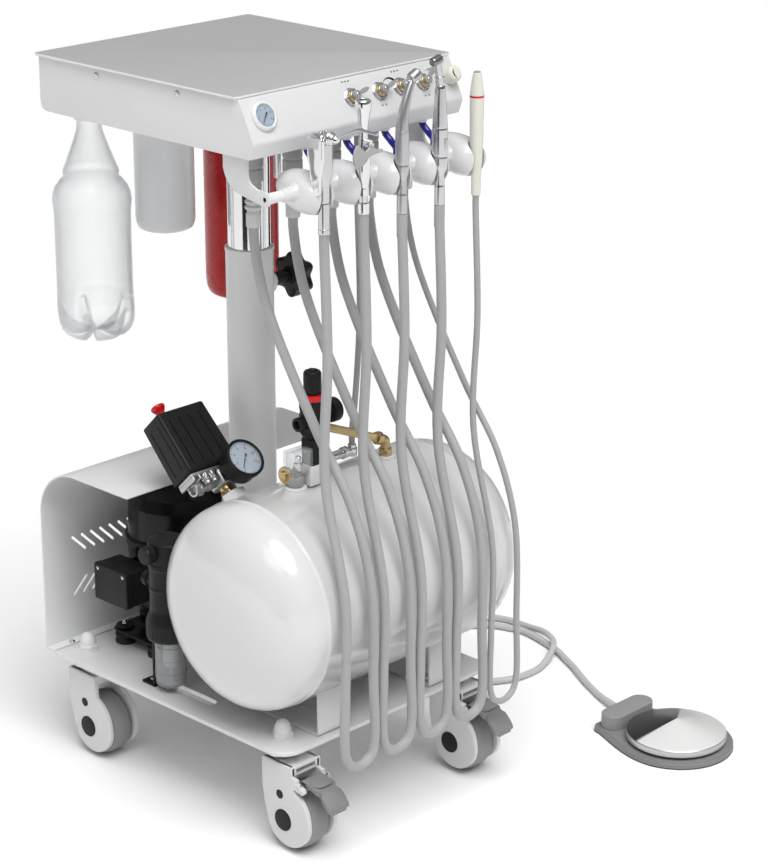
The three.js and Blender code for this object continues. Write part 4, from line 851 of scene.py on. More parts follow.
SUPPLY_ROUTE = [
    (*SUPPLY_LOW, 408.3),
    (*SUPPLY_LOW, 423.3),
    (37, -110, 458),
    (45, -110, 560),
    (*SUPPLY_HIGH, 690),
    (*SUPPLY_HIGH, 749),
    (*SUPPLY_HIGH, 760.7),
]
FOOT_ROUTE = [(367.05, -231.75, 9), (372.6, -219.2, 8), (383, -194, 5), (403, -153, 5), (426, -113, 5),
              (438, -89, 5), (450, -65, 5), (456, -45, 5), (462, -22, 5), (466, 0, 5), (466, 14, 5),
              (461, 29, 5), (456, 43, 5), (449, 55, 5), (430, 71, 5), (403, 85, 5), (379, 101, 5),
              (369, 125, 5), (379, 151, 5), (405, 161, 5), (431, 151, 5), (441, 125, 5), (446, 101, 5),
              (462, 80, 5), (474, 62, 5), (480, 44, 5), (481, 28, 5), (480, 9, 6), (475, -14, 10),
              (464, -37, 14), (451, -57, 15), (433, -70, 13), (413, -78, 8), (392, -83, 5),
              (370, -84, 5), (350, -81, 5), (334, -74, 5), (321, -65, 5), (306, -52, 5), (284, -41, 5),
              (240, -32, 5), (190, -22, 5), (150, -11, 5), (112, 0, 5), (91, 0, 10.6), (75.6, 0, 26),
              (*GLAND_AT, 47), (*GLAND_AT, 76), (*GLAND_AT, 101.7)]
BODY_OF_HOSE = ["syringe", "suction_valve", "high_speed_handpiece", "low_speed_handpiece",
                "scaler_handpiece"]


def cord_piece(name, body, route, diameter, node, skin="hose"):
    """A hose along its route; its length is worked out and not kept."""
    path = smooth_path(route, 8)
    made = piece(name, body, [(tube(path, diameter / MM / 2, 5), skin)], (node,))
    path_length(path) * MM
    return made


def instrument_hoses(sizes):
    """Five hoses that hang in a loop from the box to the instruments."""
    last = len(HOLDER_XS) - 1
    for i, x in enumerate(HOLDER_XS):
        diameter = sizes.scaler_hose if i == last else sizes.hose
        made = cord_piece(f"hose_{i + 1}", None, instrument_route(i), diameter,
                          f"instrument_hose_{i + 1}")
        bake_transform(made)


def supply_hose(sizes):
    """The hose from the regulator's pipe up to the box."""
    made = cord_piece("supply_line", None, SUPPLY_ROUTE, sizes.supply_hose, "supply_hose")
    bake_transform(made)


def foot_hose(sizes):
    """The foot control's hose on the floor."""
    cord_piece("foot_line", "base", FOOT_ROUTE, sizes.foot_hose, "foot_hose",
               skin="foot_hose")


# Air tank
def air_tank():
    """Domed tank with weld beads, bosses and two channel feet."""
    half, dome, fullness, steps = 202, 62, 0.87, 28
    seam = half - dome
    ring = []
    for i in range(steps + 1):
        angle = i / steps * math.pi / 2
        ring.append((TANK_RADIUS * math.sin(angle) ** fullness,
                     seam + dome * math.cos(angle) ** fullness))
    ring[0] = (0, half)
    upper = ring + [(TANK_RADIUS + swell, seam - drop)
                    for swell, drop in ((0, 2), (0.7, 3.2), (0.8, 5.0), (0.7, 6.8), (0, 8))]
    profile = upper + [(radius, -height) for radius, height in reversed(upper)]
    shell = along(lathe(profile, 128), "x", (0, TANK_Y, TANK_Z))
    parts = [(shell, "tank")]
    for x, radius in ((-73, 12.5), (67, 10.5)):
        boss = [(0, 375), (radius + 3, 382), (radius + 0.6, 385), (radius, 387.4), (radius, 391),
                (0, 391)]
        add(parts, "white", lathe(boss, 48, 0.8), (x, TANK_Y, 0))
    add(parts, "tank", leaned(lathe([(0, -8), (17, -5), (15, -0.5), (0, 0)], 48, 0.8)))
    add(parts, "white", leaned(nut(27, -2, 7)))
    web_y, wall, foot_x, foot_half = 69, 3, 88.5, 19.5
    top = TANK_Z - math.sqrt(TANK_RADIUS ** 2 - web_y ** 2) + 2
    low = BASE_TOP + SEAT
    back, front = TANK_Y + web_y, TANK_Y - web_y
    outline = eased([
        (front, top, 0), (front, low, 5), (back, low, 5), (back, top, 0), (back - wall, top, 0),
        (back - wall, low + wall, 2.5), (front + wall, low + wall, 2.5), (front + wall, top, 0),
    ], 4, 5)
    for side in (-1, 1):
        middle = side * foot_x
        add(parts, "cabinet", side_slab(outline, middle - foot_half, middle + foot_half, 0.5))
        for y in (TANK_Y - 57, TANK_Y + 52):
            spot = (middle - side * 8, y, 0)
            for shape in (nut(10, low + 3, low + 9), rod(7, low + 3, low + 4.2, 32, 0.3),
                          rod(2.6, low + 8, low + 11.5, 24, 0.4)):
                add(parts, "steel", shape, spot)
    piece("tank", "base", parts, ("air_tank",))


def base_plate():
    """Round-cornered plate with its cut-out, swivel collars and domed nuts."""
    low, high = BASE_BOTTOM, BASE_TOP
    sheet = moved(slab(rectangle(335, 408, 25, steps=10), high - low, 0.9, 3), (0, 0, low))
    hole = moved(slab(rectangle(14, 103, 7, -130, 0, 8), 20), (0, 0, low - 8))
    parts = [(carved(sheet, hole), "cabinet")]
    for x, y in CORNERS.values():
        collar = [(0, 105), (17.5, 105), (19, 106.5), (19, 114), (16, 116), (16, 118.2), (0, 118.2)]
        dome = [(0, high), (12.5, high), (12.5, high + 1.6), (9.6, high + 1.9), (9.6, high + 8)]
        dome += [(9.6 * math.cos(math.radians(a)), high + 9 + 13 * math.sin(math.radians(a)))
                 for a in range(0, 91, 9)]
        dome[-1] = (0, high + 22)
        for shape, finish in (
                (lathe(collar, 48, 0.5), "steel"), (lathe(dome, 48), "white"),
                (nut(21, high + 1.2, high + 7.5, 0.8), "white"), (rod(6, 93, 106, 32), "steel")):
            add(parts, finish, shape, (x, y, 0))
    gland = [(0, 102), (5.2, 102), (6.4, 104), (6.4, 108), (8, 109), (8, 118.2), (0, 118.2)]
    add(parts, "black", lathe(gland, 48, 0.5), (*GLAND_AT, 0))
    piece("base", "base", parts, ("base_plate",))


def rear_hood():
    """Bent sheet with slanted vents, folded foot flange and screws."""
    top, back, front, bend, sheet = 356, 204, 46, 62, 2.0
    low = BASE_TOP + SEAT
    outer = [(front, top)] + arc((back - bend, top - bend), bend, 90, 0, 24) + [(back, low)]
    inner = [(back - 14, low), (back - 14, low + sheet), (back - sheet, low + sheet)]
    inner += arc((back - bend, top - bend), bend - sheet, 0, 90, 24) + [(front, top - sheet)]
    shell = side_slab(outer + inner, -167.5, 167.5, 0.45)
    slots = []
    for i in range(17):
        x = (i - 8) * 14.2
        for z, lean in ((243, 1), (189, -1)):
            slot = moved(slab(rectangle(3.2, 30, 1.55, steps=3), 14), (0, 0, -7))
            slots.append(moved(slot, (x, back - 1, z), (90, -45 * lean, 0)))
    shell = carved(shell, gathered(*slots))
    parts = [(shell, "cabinet")]
    for x in (-137, -46, 46, 137):
        head = lathe([(0, 0), (3.9, 0), (3.6, 1.2), (2.4, 2.1), (0, 2.3)], 32, 0.3)
        add(parts, "steel", head, (x, 193.5, low + sheet))
    piece("hood", "base", parts, ("rear_hood",))


def column():
    """Outer tube with its foot flange, clamp head and star knob; chrome mast."""
    foot = BASE_TOP + SEAT
    tube_profile = [
        (24.3, 190), (24.3, 620), (27.2, 620), (27.8, 619.4), (27.8, 616.6), (27, 616), (27, foot + 14),
        (30, foot + 7), (33, foot + 6), (46, foot + 6), (47, foot + 5), (47, foot), (24.3, foot),
        (24.3, 190),
    ]
    parts = [(moved(lathe(tube_profile, 96), (0, COLUMN_Y, 0)), "cabinet")]
    for x, y in arc((0, COLUMN_Y), 38.5, 45, 315, 3):
        add(parts, "steel", nut(9, foot + 6, foot + 11.5), (x, y, 0))
        add(parts, "steel", rod(6.4, foot + 5.8, foot + 7, 32, 0.3), (x, y, 0))
    boss = lathe([(0, 20), (12, 24), (11.4, 31), (10, 34), (0, 34)], 48, 0.5)
    shank = lathe([(0, 33), (8, 33), (8, 56.4), (7.4, 57), (0, 57)], 48, 0.5)
    for shape, finish in ((boss, "cabinet"), (shank, "black")):
        add(parts, finish, shape, (0, COLUMN_Y, CLAMP_Z), "x")
    piece("column_tube", "base", parts, ("column_outer",))
    mast = rod(24, 400, 772.7, 96, 0.8)
    piece("mast", "upper", [(moved(mast, (0, COLUMN_Y, 0)), "chrome")], ("column_mast",))
    star = moved(slab(lobed(27, 3.4, 6, 16), 16.6, 3.2, 4), (0, 0, 3.2))
    hub = lathe([(0, 0), (9, 0), (9.5, 1), (11, 3.4), (0, 3.4)], 48, 0.4)
    cap = lathe([(0, 19.6), (9, 19.6), (8.6, 19.95), (0, 19.99)], 48)
    screw = rod(3.4, 18, 20, 32, 0.3)
    knob = placed(((star, "black"), (hub, "black"), (cap, "black"), (screw, "steel")),
                  (STAR_X, COLUMN_Y, CLAMP_Z), "x")
    piece("star_knob", "clamp_knob", knob, ("clamp_knob",))


def control_box():
    """Bent case with its side screws, bottle caps, socket and nipple; the lid, its grey top painted as
    shade on an upward face and its pale edge as a painted highlight.
    """
    outline = eased([
        (CASE_FRONT + 6, CASE_BOTTOM, 2), (CASE_FRONT, CASE_BOTTOM + CASE_BEND, 3),
        (CASE_FRONT + PANEL_SETBACK, CASE_TOP, 1.2), (CASE_BACK, CASE_TOP, 1.2),
        (CASE_BACK, CASE_BOTTOM, 12),
    ], 2, 6)
    parts = [(side_slab(outline, -156, 156, 0.9, 3), "cabinet")]
    for side, axis in SIDE_AXES:
        for y in (85, -45):
            head = lathe([(0, -0.2), (3.8, -0.2), (3.6, 0.9), (2.2, 1.6), (0, 1.7)], 32, 0.3)
            slot = block((-0.5, -3, 1.2), (0.5, 3, 3), 0.0)
            add(parts, "steel", carved(head, slot), (side * 156, y, 826), axis)
    for x, y in (CLEAR_AT, RED_AT):
        cap = lathe([(0, SOCKET_TOP), (17, SOCKET_TOP), (17, CAP_LOW + 1), (16, CAP_LOW), (0, CAP_LOW)],
                    64, 0.6)
        add(parts, "white", cap, (x, y, 0))
        for k in range(24):
            rib = block((16.6, -0.7, 764.5), (17.5, 0.7, 772), 0.3, 1)
            add(parts, "white", rib, (x, y, 0), (0, 0, 15 * k))
    socket = lathe([(0, SOCKET_TOP), (8, SOCKET_TOP), (8, 768), (6.5, 766.5), (6.5, 761), (0, 761)],
                   40, 0.5)
    add(parts, "black", socket, (*SUPPLY_HIGH, 0))
    nipple = lathe([(0, SOCKET_TOP), (5.5, SOCKET_TOP), (5.5, 768), (4, 767), (4, 731), (2.6, 730),
                    (0, 730)], 32, 0.5)
    add(parts, "steel", nipple, (-67, -100, 0))
    piece("control_box", "upper", parts, ("control_case",))
    # Pale edge under a grey top: a painted highlight on the lid's edge and painted shade on its top
    edge = moved(slab(rectangle(320, 326, 5, 0, 25, 6), 2.6, 0.8, 3), (0, 0, 834))
    top = moved(slab(rectangle(319, 325, 4.5, 0, 25, 6), 1.2, 0.5, 3), (0, 0, 835.8))
    piece("lid", "upper", [(edge, "white"), (top, "lid")], ("lid_plate",))


# Casters
FORK_TOP = 104.7
FORK_HALF = 22.5
CHEEK = 6
PIN_Y = -TRAIL - 24
PIN_Z = 84


def cheek_outline(braked):
    """The side of a caster fork in Y and Z about its swivel axis."""
    t = -TRAIL
    spine = [(t + 33.5, FORK_TOP), (t + 33, 70)]
    spine += bezier((t + 33, 70), (t + 30, 45), (t + 22, 17), (t + 13, 14))
    spine += bezier((t + 13, 14), (t + 4, 6), (t - 10, 6), (t - 18, 9))
    spine += bezier((t - 18, 9), (t - 30, 14), (t - 42, 26), (t - 40, 42))
    spine += bezier((t - 40, 42), (t - 38, 62), (t - 30, 70), (t - 16, 78))
    if braked:
        spine += [(t - 17, 80), (t - 24, 79), (t - 30, 77), (t - 33, 80), (t - 31, 84), (t - 26, 86),
                  (t - 21, 88), (t - 21, 92), (t - 13.5, 93)]
    spine += [(t - 13.5, FORK_TOP)]
    return spine


def caster(name):
    """Fork, wheel and, in front, the brake pedal of one caster."""
    x, y = CORNERS[name]
    braked = y < 0
    t = -TRAIL
    cheeks = [side_slab(cheek_outline(braked), start, start + CHEEK, 1.5, 4)
              for start in (-FORK_HALF, FORK_HALF - CHEEK)]
    inside = FORK_HALF - 0.8
    bar = block((-inside, t - 13.5, FORK_TOP - 12), (inside, t + 33.5, FORK_TOP), 1.6, 4)
    if braked:
        opening = FORK_HALF - 8
        window = block((-opening, t - 20, FORK_TOP - 9.5), (opening, t - 2, FORK_TOP - 3.5), 0.6, 2)
        bar = carved(bar, window)
    skirt = block((-inside, t + 29.5, 76), (inside, t + 33.2, FORK_TOP - 2), 1.4, 3)
    parts = [(shape, "fork") for shape in (*cheeks, bar, skirt)]
    for side, axis in SIDE_AXES:
        ring = lathe([(12.9, -0.6), (12.9, 0.25), (14.6, 0.25), (15.2, -0.6)], 64, 0.2)
        cap = lathe([(0, -1), (12.8, -1), (12.8, 0.5), (12.2, 0.9), (0, 1.5)], 64, 0.3)
        add(parts, "fork", ring, (side * FORK_HALF, t, WHEEL_RADIUS), axis)
        add(parts, "black", cap, (side * FORK_HALF, t, WHEEL_RADIUS), axis)
        add(parts, "black", rod(5.4, -1, 0.15, 48, 0.1), (side * FORK_HALF, t + 5, 67.5), axis)
    add(parts, "steel", rod(4, 1 - FORK_HALF, FORK_HALF - 1, 32), (0, t, WHEEL_RADIUS), "x")
    if braked:
        add(parts, "steel", rod(3, 1 - FORK_HALF, FORK_HALF - 1, 32), (0, PIN_Y, PIN_Z), "x")
        for side, axis in SIDE_AXES:
            eye = lathe([(1.4, -0.4), (1.4, 1.0), (3.2, 1.4), (4.6, 1.0), (4.6, -0.4)], 40, 0.3)
            add(parts, "fork", eye, (side * (FORK_HALF - 0.6), PIN_Y, PIN_Z), axis)
    piece("fork_" + name, "fork_" + name, placed(parts, (x, y, 0)),
          ("caster_fork_" + name,))
    half = 16.2
    tread = [
        (28.5, -half + 4), (30, -half + 1.2), (33.5, -half + 1.6), (36.2, -half + 4), (37.2, -half + 8),
        (37.5, -4), (37.5, 4), (37.2, half - 8), (36.2, half - 4), (33.5, half - 1.6), (30, half - 1.2),
        (28.5, half - 4),
    ]
    web = [
        (4.4, -half), (10.5, -half), (11.5, -half + 6), (26, -half + 6.5), (28.4, -half + 2.5),
        (29, -half + 2.5), (29, half - 2.5), (28.4, half - 2.5), (26, half - 6.5), (11.5, half - 6),
        (10.5, half), (4.4, half), (4.4, -half),
    ]
    place = (x, y - TRAIL, WHEEL_RADIUS)
    wheel = [(along(lathe(tread, 96, 0.8), "x", place), "tread"),
             (along(lathe(web, 96, 0.6), "x", place), "caster")]
    for k in range(5):
        rib = block((-half + 6.5, -1.2, 11), (half - 6.5, 1.2, 28), 0.4, 2)
        add(wheel, "caster", rib, place, (72 * k, 0, 0))
    piece("wheel_" + name, "wheel_" + name, wheel, ("caster_wheel_" + name,))
    if braked:
        brake_pedal(name, x, y)


def brake_pedal(name, x, y):
    """Two-lobed pedal that turns on its pin."""
    reach = 41
    outline = [(3, 6.4)] + bezier((3, 6.4), (-reach * 0.35, 7), (-reach * 0.75, 1), (-reach, -14), 10)
    outline += bezier((-reach, -14), (-reach - 2.5, -18), (-reach - 1, -21), (-reach + 3, -20), 5)
    outline += bezier((-reach + 3, -20), (-reach * 0.7, -5), (-reach * 0.4, 0), (3, 0.5), 10)
    plate = side_slab(outline, -15, 15, 1.2, 3)
    notches = [moved(slab(rectangle(9, 9, 4.4, steps=6), 60), (side * 16.5, -25, -45))
               for side in (-1, 1)]
    plate = carved(plate, gathered(*notches))
    bore = along(rod(3.5, -40, 40, 32), "x")
    barrel = carved(along(rod(6.5, -15, 15, 48), "x"), bore)
    pad = moved(slab(rectangle(27, 19, 9, steps=8), 3, 1.0, 3), (0, -13, 3.6), (4, 0, 0))
    stop = moved(block((-10, -3, -2), (10, 2, 2), 1.0), (0, -reach + 1, -19.5), (20, 0, 0))
    parts = placed([(shape, "pedal") for shape in (plate, barrel, pad, stop)], (x, y + PIN_Y, PIN_Z))
    piece("pedal_" + name, "brake_" + name, parts, ("brake_pedal_" + name,))


# Pressure switch group, drawn upright and then leaned back
GAUGE_AT = (5, 0, 27)
PORTS_AT = (0, 4, 27)
KNOB_AT = (-31, 0, 0)
INLET_AT = (-3.5, 0, 0)
COVER_X = -18
COVER_LOW = 40
COVER_HIGH = 117
SWEEP_START = 225
SWEEP = 270


def gauge_dial(radius, figures, turn=0.0):
    """Ticks, figures and a hand on a dial card that faces +Z at height 0."""
    parts = [(rod(radius, -0.6, 0, 64, 0), "dial")]
    count = 25
    for i in range(count):
        major = i % 4 == 0
        inner = radius * (0.80 if major else 0.86)
        half = radius * (0.022 if major else 0.009)
        tick = block((inner, -half, 0), (radius * 0.93, half, 0.06), 0)
        add(parts, "print", tick, turn=(0, 0, SWEEP_START - SWEEP * i / (count - 1) + turn))
    ring = lathe([(radius * 0.925, 0), (radius * 0.925, 0.05), (radius * 0.94, 0.05),
                  (radius * 0.94, 0)], 64)
    add(parts, "print", ring)
    for i, figure in enumerate(figures):
        angle = math.radians(SWEEP_START - SWEEP * i / (len(figures) - 1) + turn)
        reach = radius * 0.66
        place = (reach * math.cos(angle), reach * math.sin(angle), 0.02)
        add(parts, "print", lettering(figure, radius * 0.24, 0.03), place)
    outline = ((-0.30, -0.08), (-0.30, 0.08), (0.02, 0.05), (0.74, 0.016), (0.74, -0.016),
               (0.02, -0.05))
    hand = slab([(radius * reach, radius * side) for reach, side in outline], 0.3, 0.05, 1)
    add(parts, "print", hand, (0, 0, 0.9), (0, 0, SWEEP_START - SWEEP * 0.03 + turn))
    add(parts, "brass", lathe([(0, 0), (radius * 0.055, 0), (radius * 0.055, 1.5), (0, 1.7)], 32, 0.1))
    return parts


def switch_group():
    """Die-cast manifold on its brass nut, the ribbed cover, red knob and tank gauge."""
    cast = [(block((-14, -14, 17), (14, 14, 36.5), 3.2, 4), "die_cast")]
    add(cast, "die_cast", block((-51, -15, 35.8), (7.5, 15, 39.6), 1.2, 3))
    add(cast, "die_cast", lathe([(0, 12), (8, 12), (8, 17), (9.4, 18), (9.4, 30), (0, 30)], 48, 0.8))
    for k in range(4):
        rib = block((-51 + 9 * k, -15.4, 30), (-47.4 + 9 * k, 15.4, 36.6), 1.1, 3)
        add(cast, "die_cast", rib)
    port_profile = [(0, 8), (6.2, 8), (6.2, 22), (8.2, 22.6), (8.2, 30), (5.6, 30), (5.2, 27), (0, 27)]
    add(cast, "die_cast", lathe(port_profile, 48, 0.5), PORTS_AT, "x")
    long_port = [(0, 8), (6.4, 8), (6.4, 18), (7.4, 19), (7.4, 24), (6.4, 25), (6.4, 34), (8.6, 35),
                 (8.6, 44), (6, 44), (5.6, 40), (0, 40)]
    add(cast, "die_cast", lathe(long_port, 48, 0.5), PORTS_AT, "-x")
    add(cast, "die_cast", nut(17, 33.6, 38.5, 0.6), PORTS_AT, "-x")
    low_port = [(0, 36), (5.4, 36), (5.4, 28), (4, 27), (4, 24), (2.4, 24), (2.4, 26), (0, 26)]
    for x in (-30, -20):
        add(cast, "die_cast", lathe(low_port, 40, 0.4), (x, -9, 0))
        add(cast, "steel", nut(10.5, 28.5, 33, 0.5), (x, -9, 0))
    add(cast, "die_cast", rod(5, 12, 20.2, 40), GAUGE_AT, "-y")
    add(cast, "brass", nut(19, 4.5, 11, 0.7), INLET_AT)
    neck = lathe([(0, 2), (7, 2), (7, 12), (8, 12.4), (8, 17.4), (0, 17.4)], 48, 0.4)
    add(cast, "brass", neck, INLET_AT)
    for x in (-46, 2):
        for y in (-11, 11):
            add(cast, "steel", screw_head(2.6, 1.7), (x, y, 35.8), "-z")
    piece("switch_base", "base", cast, ("switch_manifold",), place=leaned)
    tall = COVER_HIGH - COVER_LOW
    shell = moved(slab(rectangle(70, 40, 3.4, COVER_X, 0, 5), tall, 2.6, 4), (0, 0, COVER_LOW))
    for vertex in shell.verts:
        rise = max(0.0, (vertex.co.z - COVER_LOW) / tall)
        vertex.co.x = COVER_X + (vertex.co.x - COVER_X) * (1 - 0.035 * rise)
        vertex.co.y *= 1 - 0.07 * rise
    low, high, wide, inset = 48, 106, 1.4, 0.9
    grooves = []
    for k in range(4):
        x = -42.4 + 14.5 * k
        for face in (-1, 1):
            y = face * 19.6
            cut = block((x, y - 1.6, low), (x + wide, y + 1.6, high), 0.3, 2)
            grooves.append(moved(cut, (0, face * -inset, 0)))
    for y in (-9, 7):
        for x in (-53 + inset, 17 - inset):
            grooves.append(block((x - 1.4, y, low), (x + 1.4, y + wide, high), 0.3, 2))
    grooves.append(moved(rod(9, 114, 126, 48), KNOB_AT))
    shell = carved(shell, gathered(*grooves))
    rim = lathe([(8.9, 113.6), (8.9, 117.2), (10.8, 117.2), (10.8, 113.6)], 56, 0.3)
    cover = [(shell, "black"), (moved(rim, KNOB_AT), "black"),
             (moved(rod(9.1, 112.6, 113.8, 48), KNOB_AT), "black")]
    piece("switch_box", "base", cover, ("switch_cover",), place=leaned)
    knob = lathe([(0, 114.4), (4.6, 114.4), (4.6, 122), (5.4, 124), (7.6, 127.4), (8.4, 129),
                  (8.4, 131), (7.6, 132.2), (0, 132.6)], 64, 0.7)
    skirt = lathe([(4.4, 117.4), (6.4, 117.8), (6.8, 118.8), (6.4, 119.8), (4.4, 120.2)], 64, 0.3)
    piece("red_knob", "switch_knob", placed([(knob, "red"), (skirt, "red")], KNOB_AT),
          ("switch_knob",), place=leaned)
    cup = [(0, 20.5), (18, 20.5), (21, 22), (21.4, 24), (21.4, 38.2), (23.5, 39.2), (23.5, 44.6),
           (22.6, 45.5), (20.6, 45.5), (20.2, 44.8), (20.2, 42.4), (0, 42.4)]
    gauge = [(lathe(cup, 96, 0.4), "black")]
    gauge += placed(gauge_dial(20, ("0", "2", "4", "6", "8", "10", "12"), 12), (0, 0, 42.9))
    add(gauge, "glass", lathe([(19.9, 44.4), (0, 44.4), (0, 44.8), (19.9, 44.8), (19.9, 44.4)], 64))
    piece("gauge", "base", placed(gauge, GAUGE_AT, "-y"), ("tank_gauge",),
          place=leaned)


def at_regulator(shape, x=REGULATOR_X):
    """Places a shape over the tank's top line."""
    return moved(shape, (x, TANK_Y, 0))


def regulator_group():
    """Fitting, clear cube, brass bar and elbow, chrome pipe, filter body and knob."""
    floor = 391.3
    parts = []
    cup = [(0, floor), (8.2, floor), (8.2, floor + 2), (9.4, floor + 3), (9.4, floor + 11),
           (8.4, floor + 12), (8.4, 407), (0, 407)]
    add(parts, "relief", at_regulator(lathe(cup, 64, 0.7), CUBE_X))
    brass = lathe([(0, -13), (5.5, -13), (5.5, -9.4), (9.6, -9.4), (10.2, -7), (9.6, -4.6), (0, -4.6)],
                  56, 0.5)
    add(parts, "brass", brass, (CUBE_X, TANK_Y + 8, floor + 12), "x")
    add(parts, "relief", at_regulator(knurl(9.7, floor + 3.4, floor + 10.4, 30), CUBE_X))
    cube = block((-83, -9.5, 407.3), (-55, 9.5, 432.2), 1.2, 3)
    cube = carved(cube, block((-81, -7.5, 409.5), (-57, 7.5, 430), 0.8, 2))
    add(parts, "clear", at_regulator(cube, 0))
    add(parts, "chrome", at_regulator(rod(5, 408, 417, 40), VALVE_X))
    stem = lathe([(0, 416), (3.4, 416), (3.4, 424), (2.2, 425), (0, 425)], 32, 0.3)
    add(parts, "chrome", at_regulator(stem, VALVE_X))
    add(parts, "brass", at_regulator(block((-3, -3, 409.6), (5, 3, 412), 0.5), CUBE_X))
    add(parts, "black", block((-55.5, TANK_Y - 9, 411), (-31, TANK_Y + 9, 440.8), 1.2, 3))
    add(parts, "white", block((-60, TANK_Y - 11, floor - 2), (-31, TANK_Y + 11, 411.3), 1.0, 3))
    start, end = Vector((-34, TANK_Y, 451)), Vector((60, TANK_Y, 412))
    bar = block((0, -4.5, -4.5), ((end - start).length, 4.5, 4.5), 1.1, 3)
    turn = math.degrees(math.atan2(start.z - end.z, end.x - start.x))
    add(parts, "brass", bar, start, (0, turn, 0))
    joint = along(nut(13.5, 0, 8, 0.6), "x")
    add(parts, "brass", moved(joint, turn=(0, turn, 0)), end - (end - start).normalized() * 9)
    bend = ((52, 414), (60, 411.6), (66, 408.6), (ELBOW_X, 401), (ELBOW_X, 392))
    elbow = smooth_path([(x, TANK_Y, z) for x, z in bend], 8)
    add(parts, "brass", tube(elbow, 5.6, 6))
    add(parts, "brass", at_regulator(nut(13.5, floor, 397, 0.6), ELBOW_X))
    add(parts, "brass", at_regulator(rod(7.2, 396, 399.5, 40, 0.4), ELBOW_X))
    pipe_y = SUPPLY_LOW[1]
    pipe_z = floor + 10
    add(parts, "chrome", rod(5.3, 0, 68, 56, 0.5), (-40, pipe_y, pipe_z), "x")
    for x in (-33, 16):
        add(parts, "chrome", nut(13.4, 0, 6, 0.5), (x, pipe_y, pipe_z), "x")
    add(parts, "chrome", block((-42, TANK_Y + 8, pipe_z - 5), (-34, pipe_y + 4.5, pipe_z + 5), 0.8))
    fitting = lathe([(0, 394.8), (5.4, 394.8), (6, 395.6), (6, 404), (5, 405), (5, 408.3), (0, 408.3)],
                    48, 0.5)
    add(parts, "chrome", fitting, (*SUPPLY_LOW, 0))
    piece("regulator_base", "base", parts, ("regulator_block",))
    z = 440.6
    body = [(0, z), (9.5, z), (11, z + 1), (13.4, z + 5), (14.4, z + 7), (14.6, z + 14), (14.9, z + 15),
            (14.9, z + 27), (14.2, z + 28), (14.2, z + 33), (14.9, z + 34), (14.9, z + 45.4),
            (0, z + 45.4)]
    body_parts = [(at_regulator(lathe(body, 96, 0.6)), "black")]
    for k in range(20):
        rib = block((13.8, -0.8, z + 7.5), (15.1, 0.8, z + 13.5), 0.3, 1)
        add(body_parts, "black", at_regulator(moved(rib, turn=(0, 0, 18 * k))))
    port = lathe([(4.6, 11), (4.6, 24), (7.6, 24), (8, 23.4), (8, 19), (7, 18), (7, 11), (4.6, 11)],
                 48, 0.5)
    add(body_parts, "black", port, (REGULATOR_X, TANK_Y, z + 20), "-x")
    # Painted shade: a near-black plug inside the port stands in for the shade of its opening
    add(body_parts, "dark", rod(4.7, 12, 19, 40), (REGULATOR_X, TANK_Y, z + 20), "-x")
    add(body_parts, "black", at_regulator(block((-6, -16.5, z + 15), (6, -10, z + 27), 1.6)))
    housing = lathe([(0, 11), (7.4, 11), (7.4, 22), (12.6, 24), (13.6, 25), (13.6, 34), (12.8, 35),
                     (11.4, 35), (11, 34.2), (0, 34)], 72, 0.5)
    add(body_parts, "black", housing, (REGULATOR_X, TANK_Y, z + 25), "x")
    ring = lathe([(0, z + 45), (15.4, z + 45), (15.6, z + 46), (15.6, z + 50), (15.2, z + 51),
                  (0, z + 51)], 96, 0.3)
    add(body_parts, "red", at_regulator(ring))
    piece("regulator", "base", body_parts, ("regulator_body",))
    top = 491.9
    knob = lathe([(0, top + 1), (9.8, top + 1), (10, top + 2), (10, top + 22.4), (9.4, top + 24.4),
                  (8.2, top + 25.6), (0, top + 26.2)], 96, 0.5)
    cap = lathe([(0, top + 25), (6.4, top + 25), (6, top + 26.9), (0, top + 27)], 6, 0.3)
    skirt = lathe([(0, top), (10.3, top), (10.3, top + 2.4), (10, top + 3), (0, top + 3)], 64, 0.4)
    parts = [(at_regulator(shape), "black") for shape in (knob, cap, skirt)]
    piece("regulator_top", "regulator_knob", parts, ("regulator_knob",))


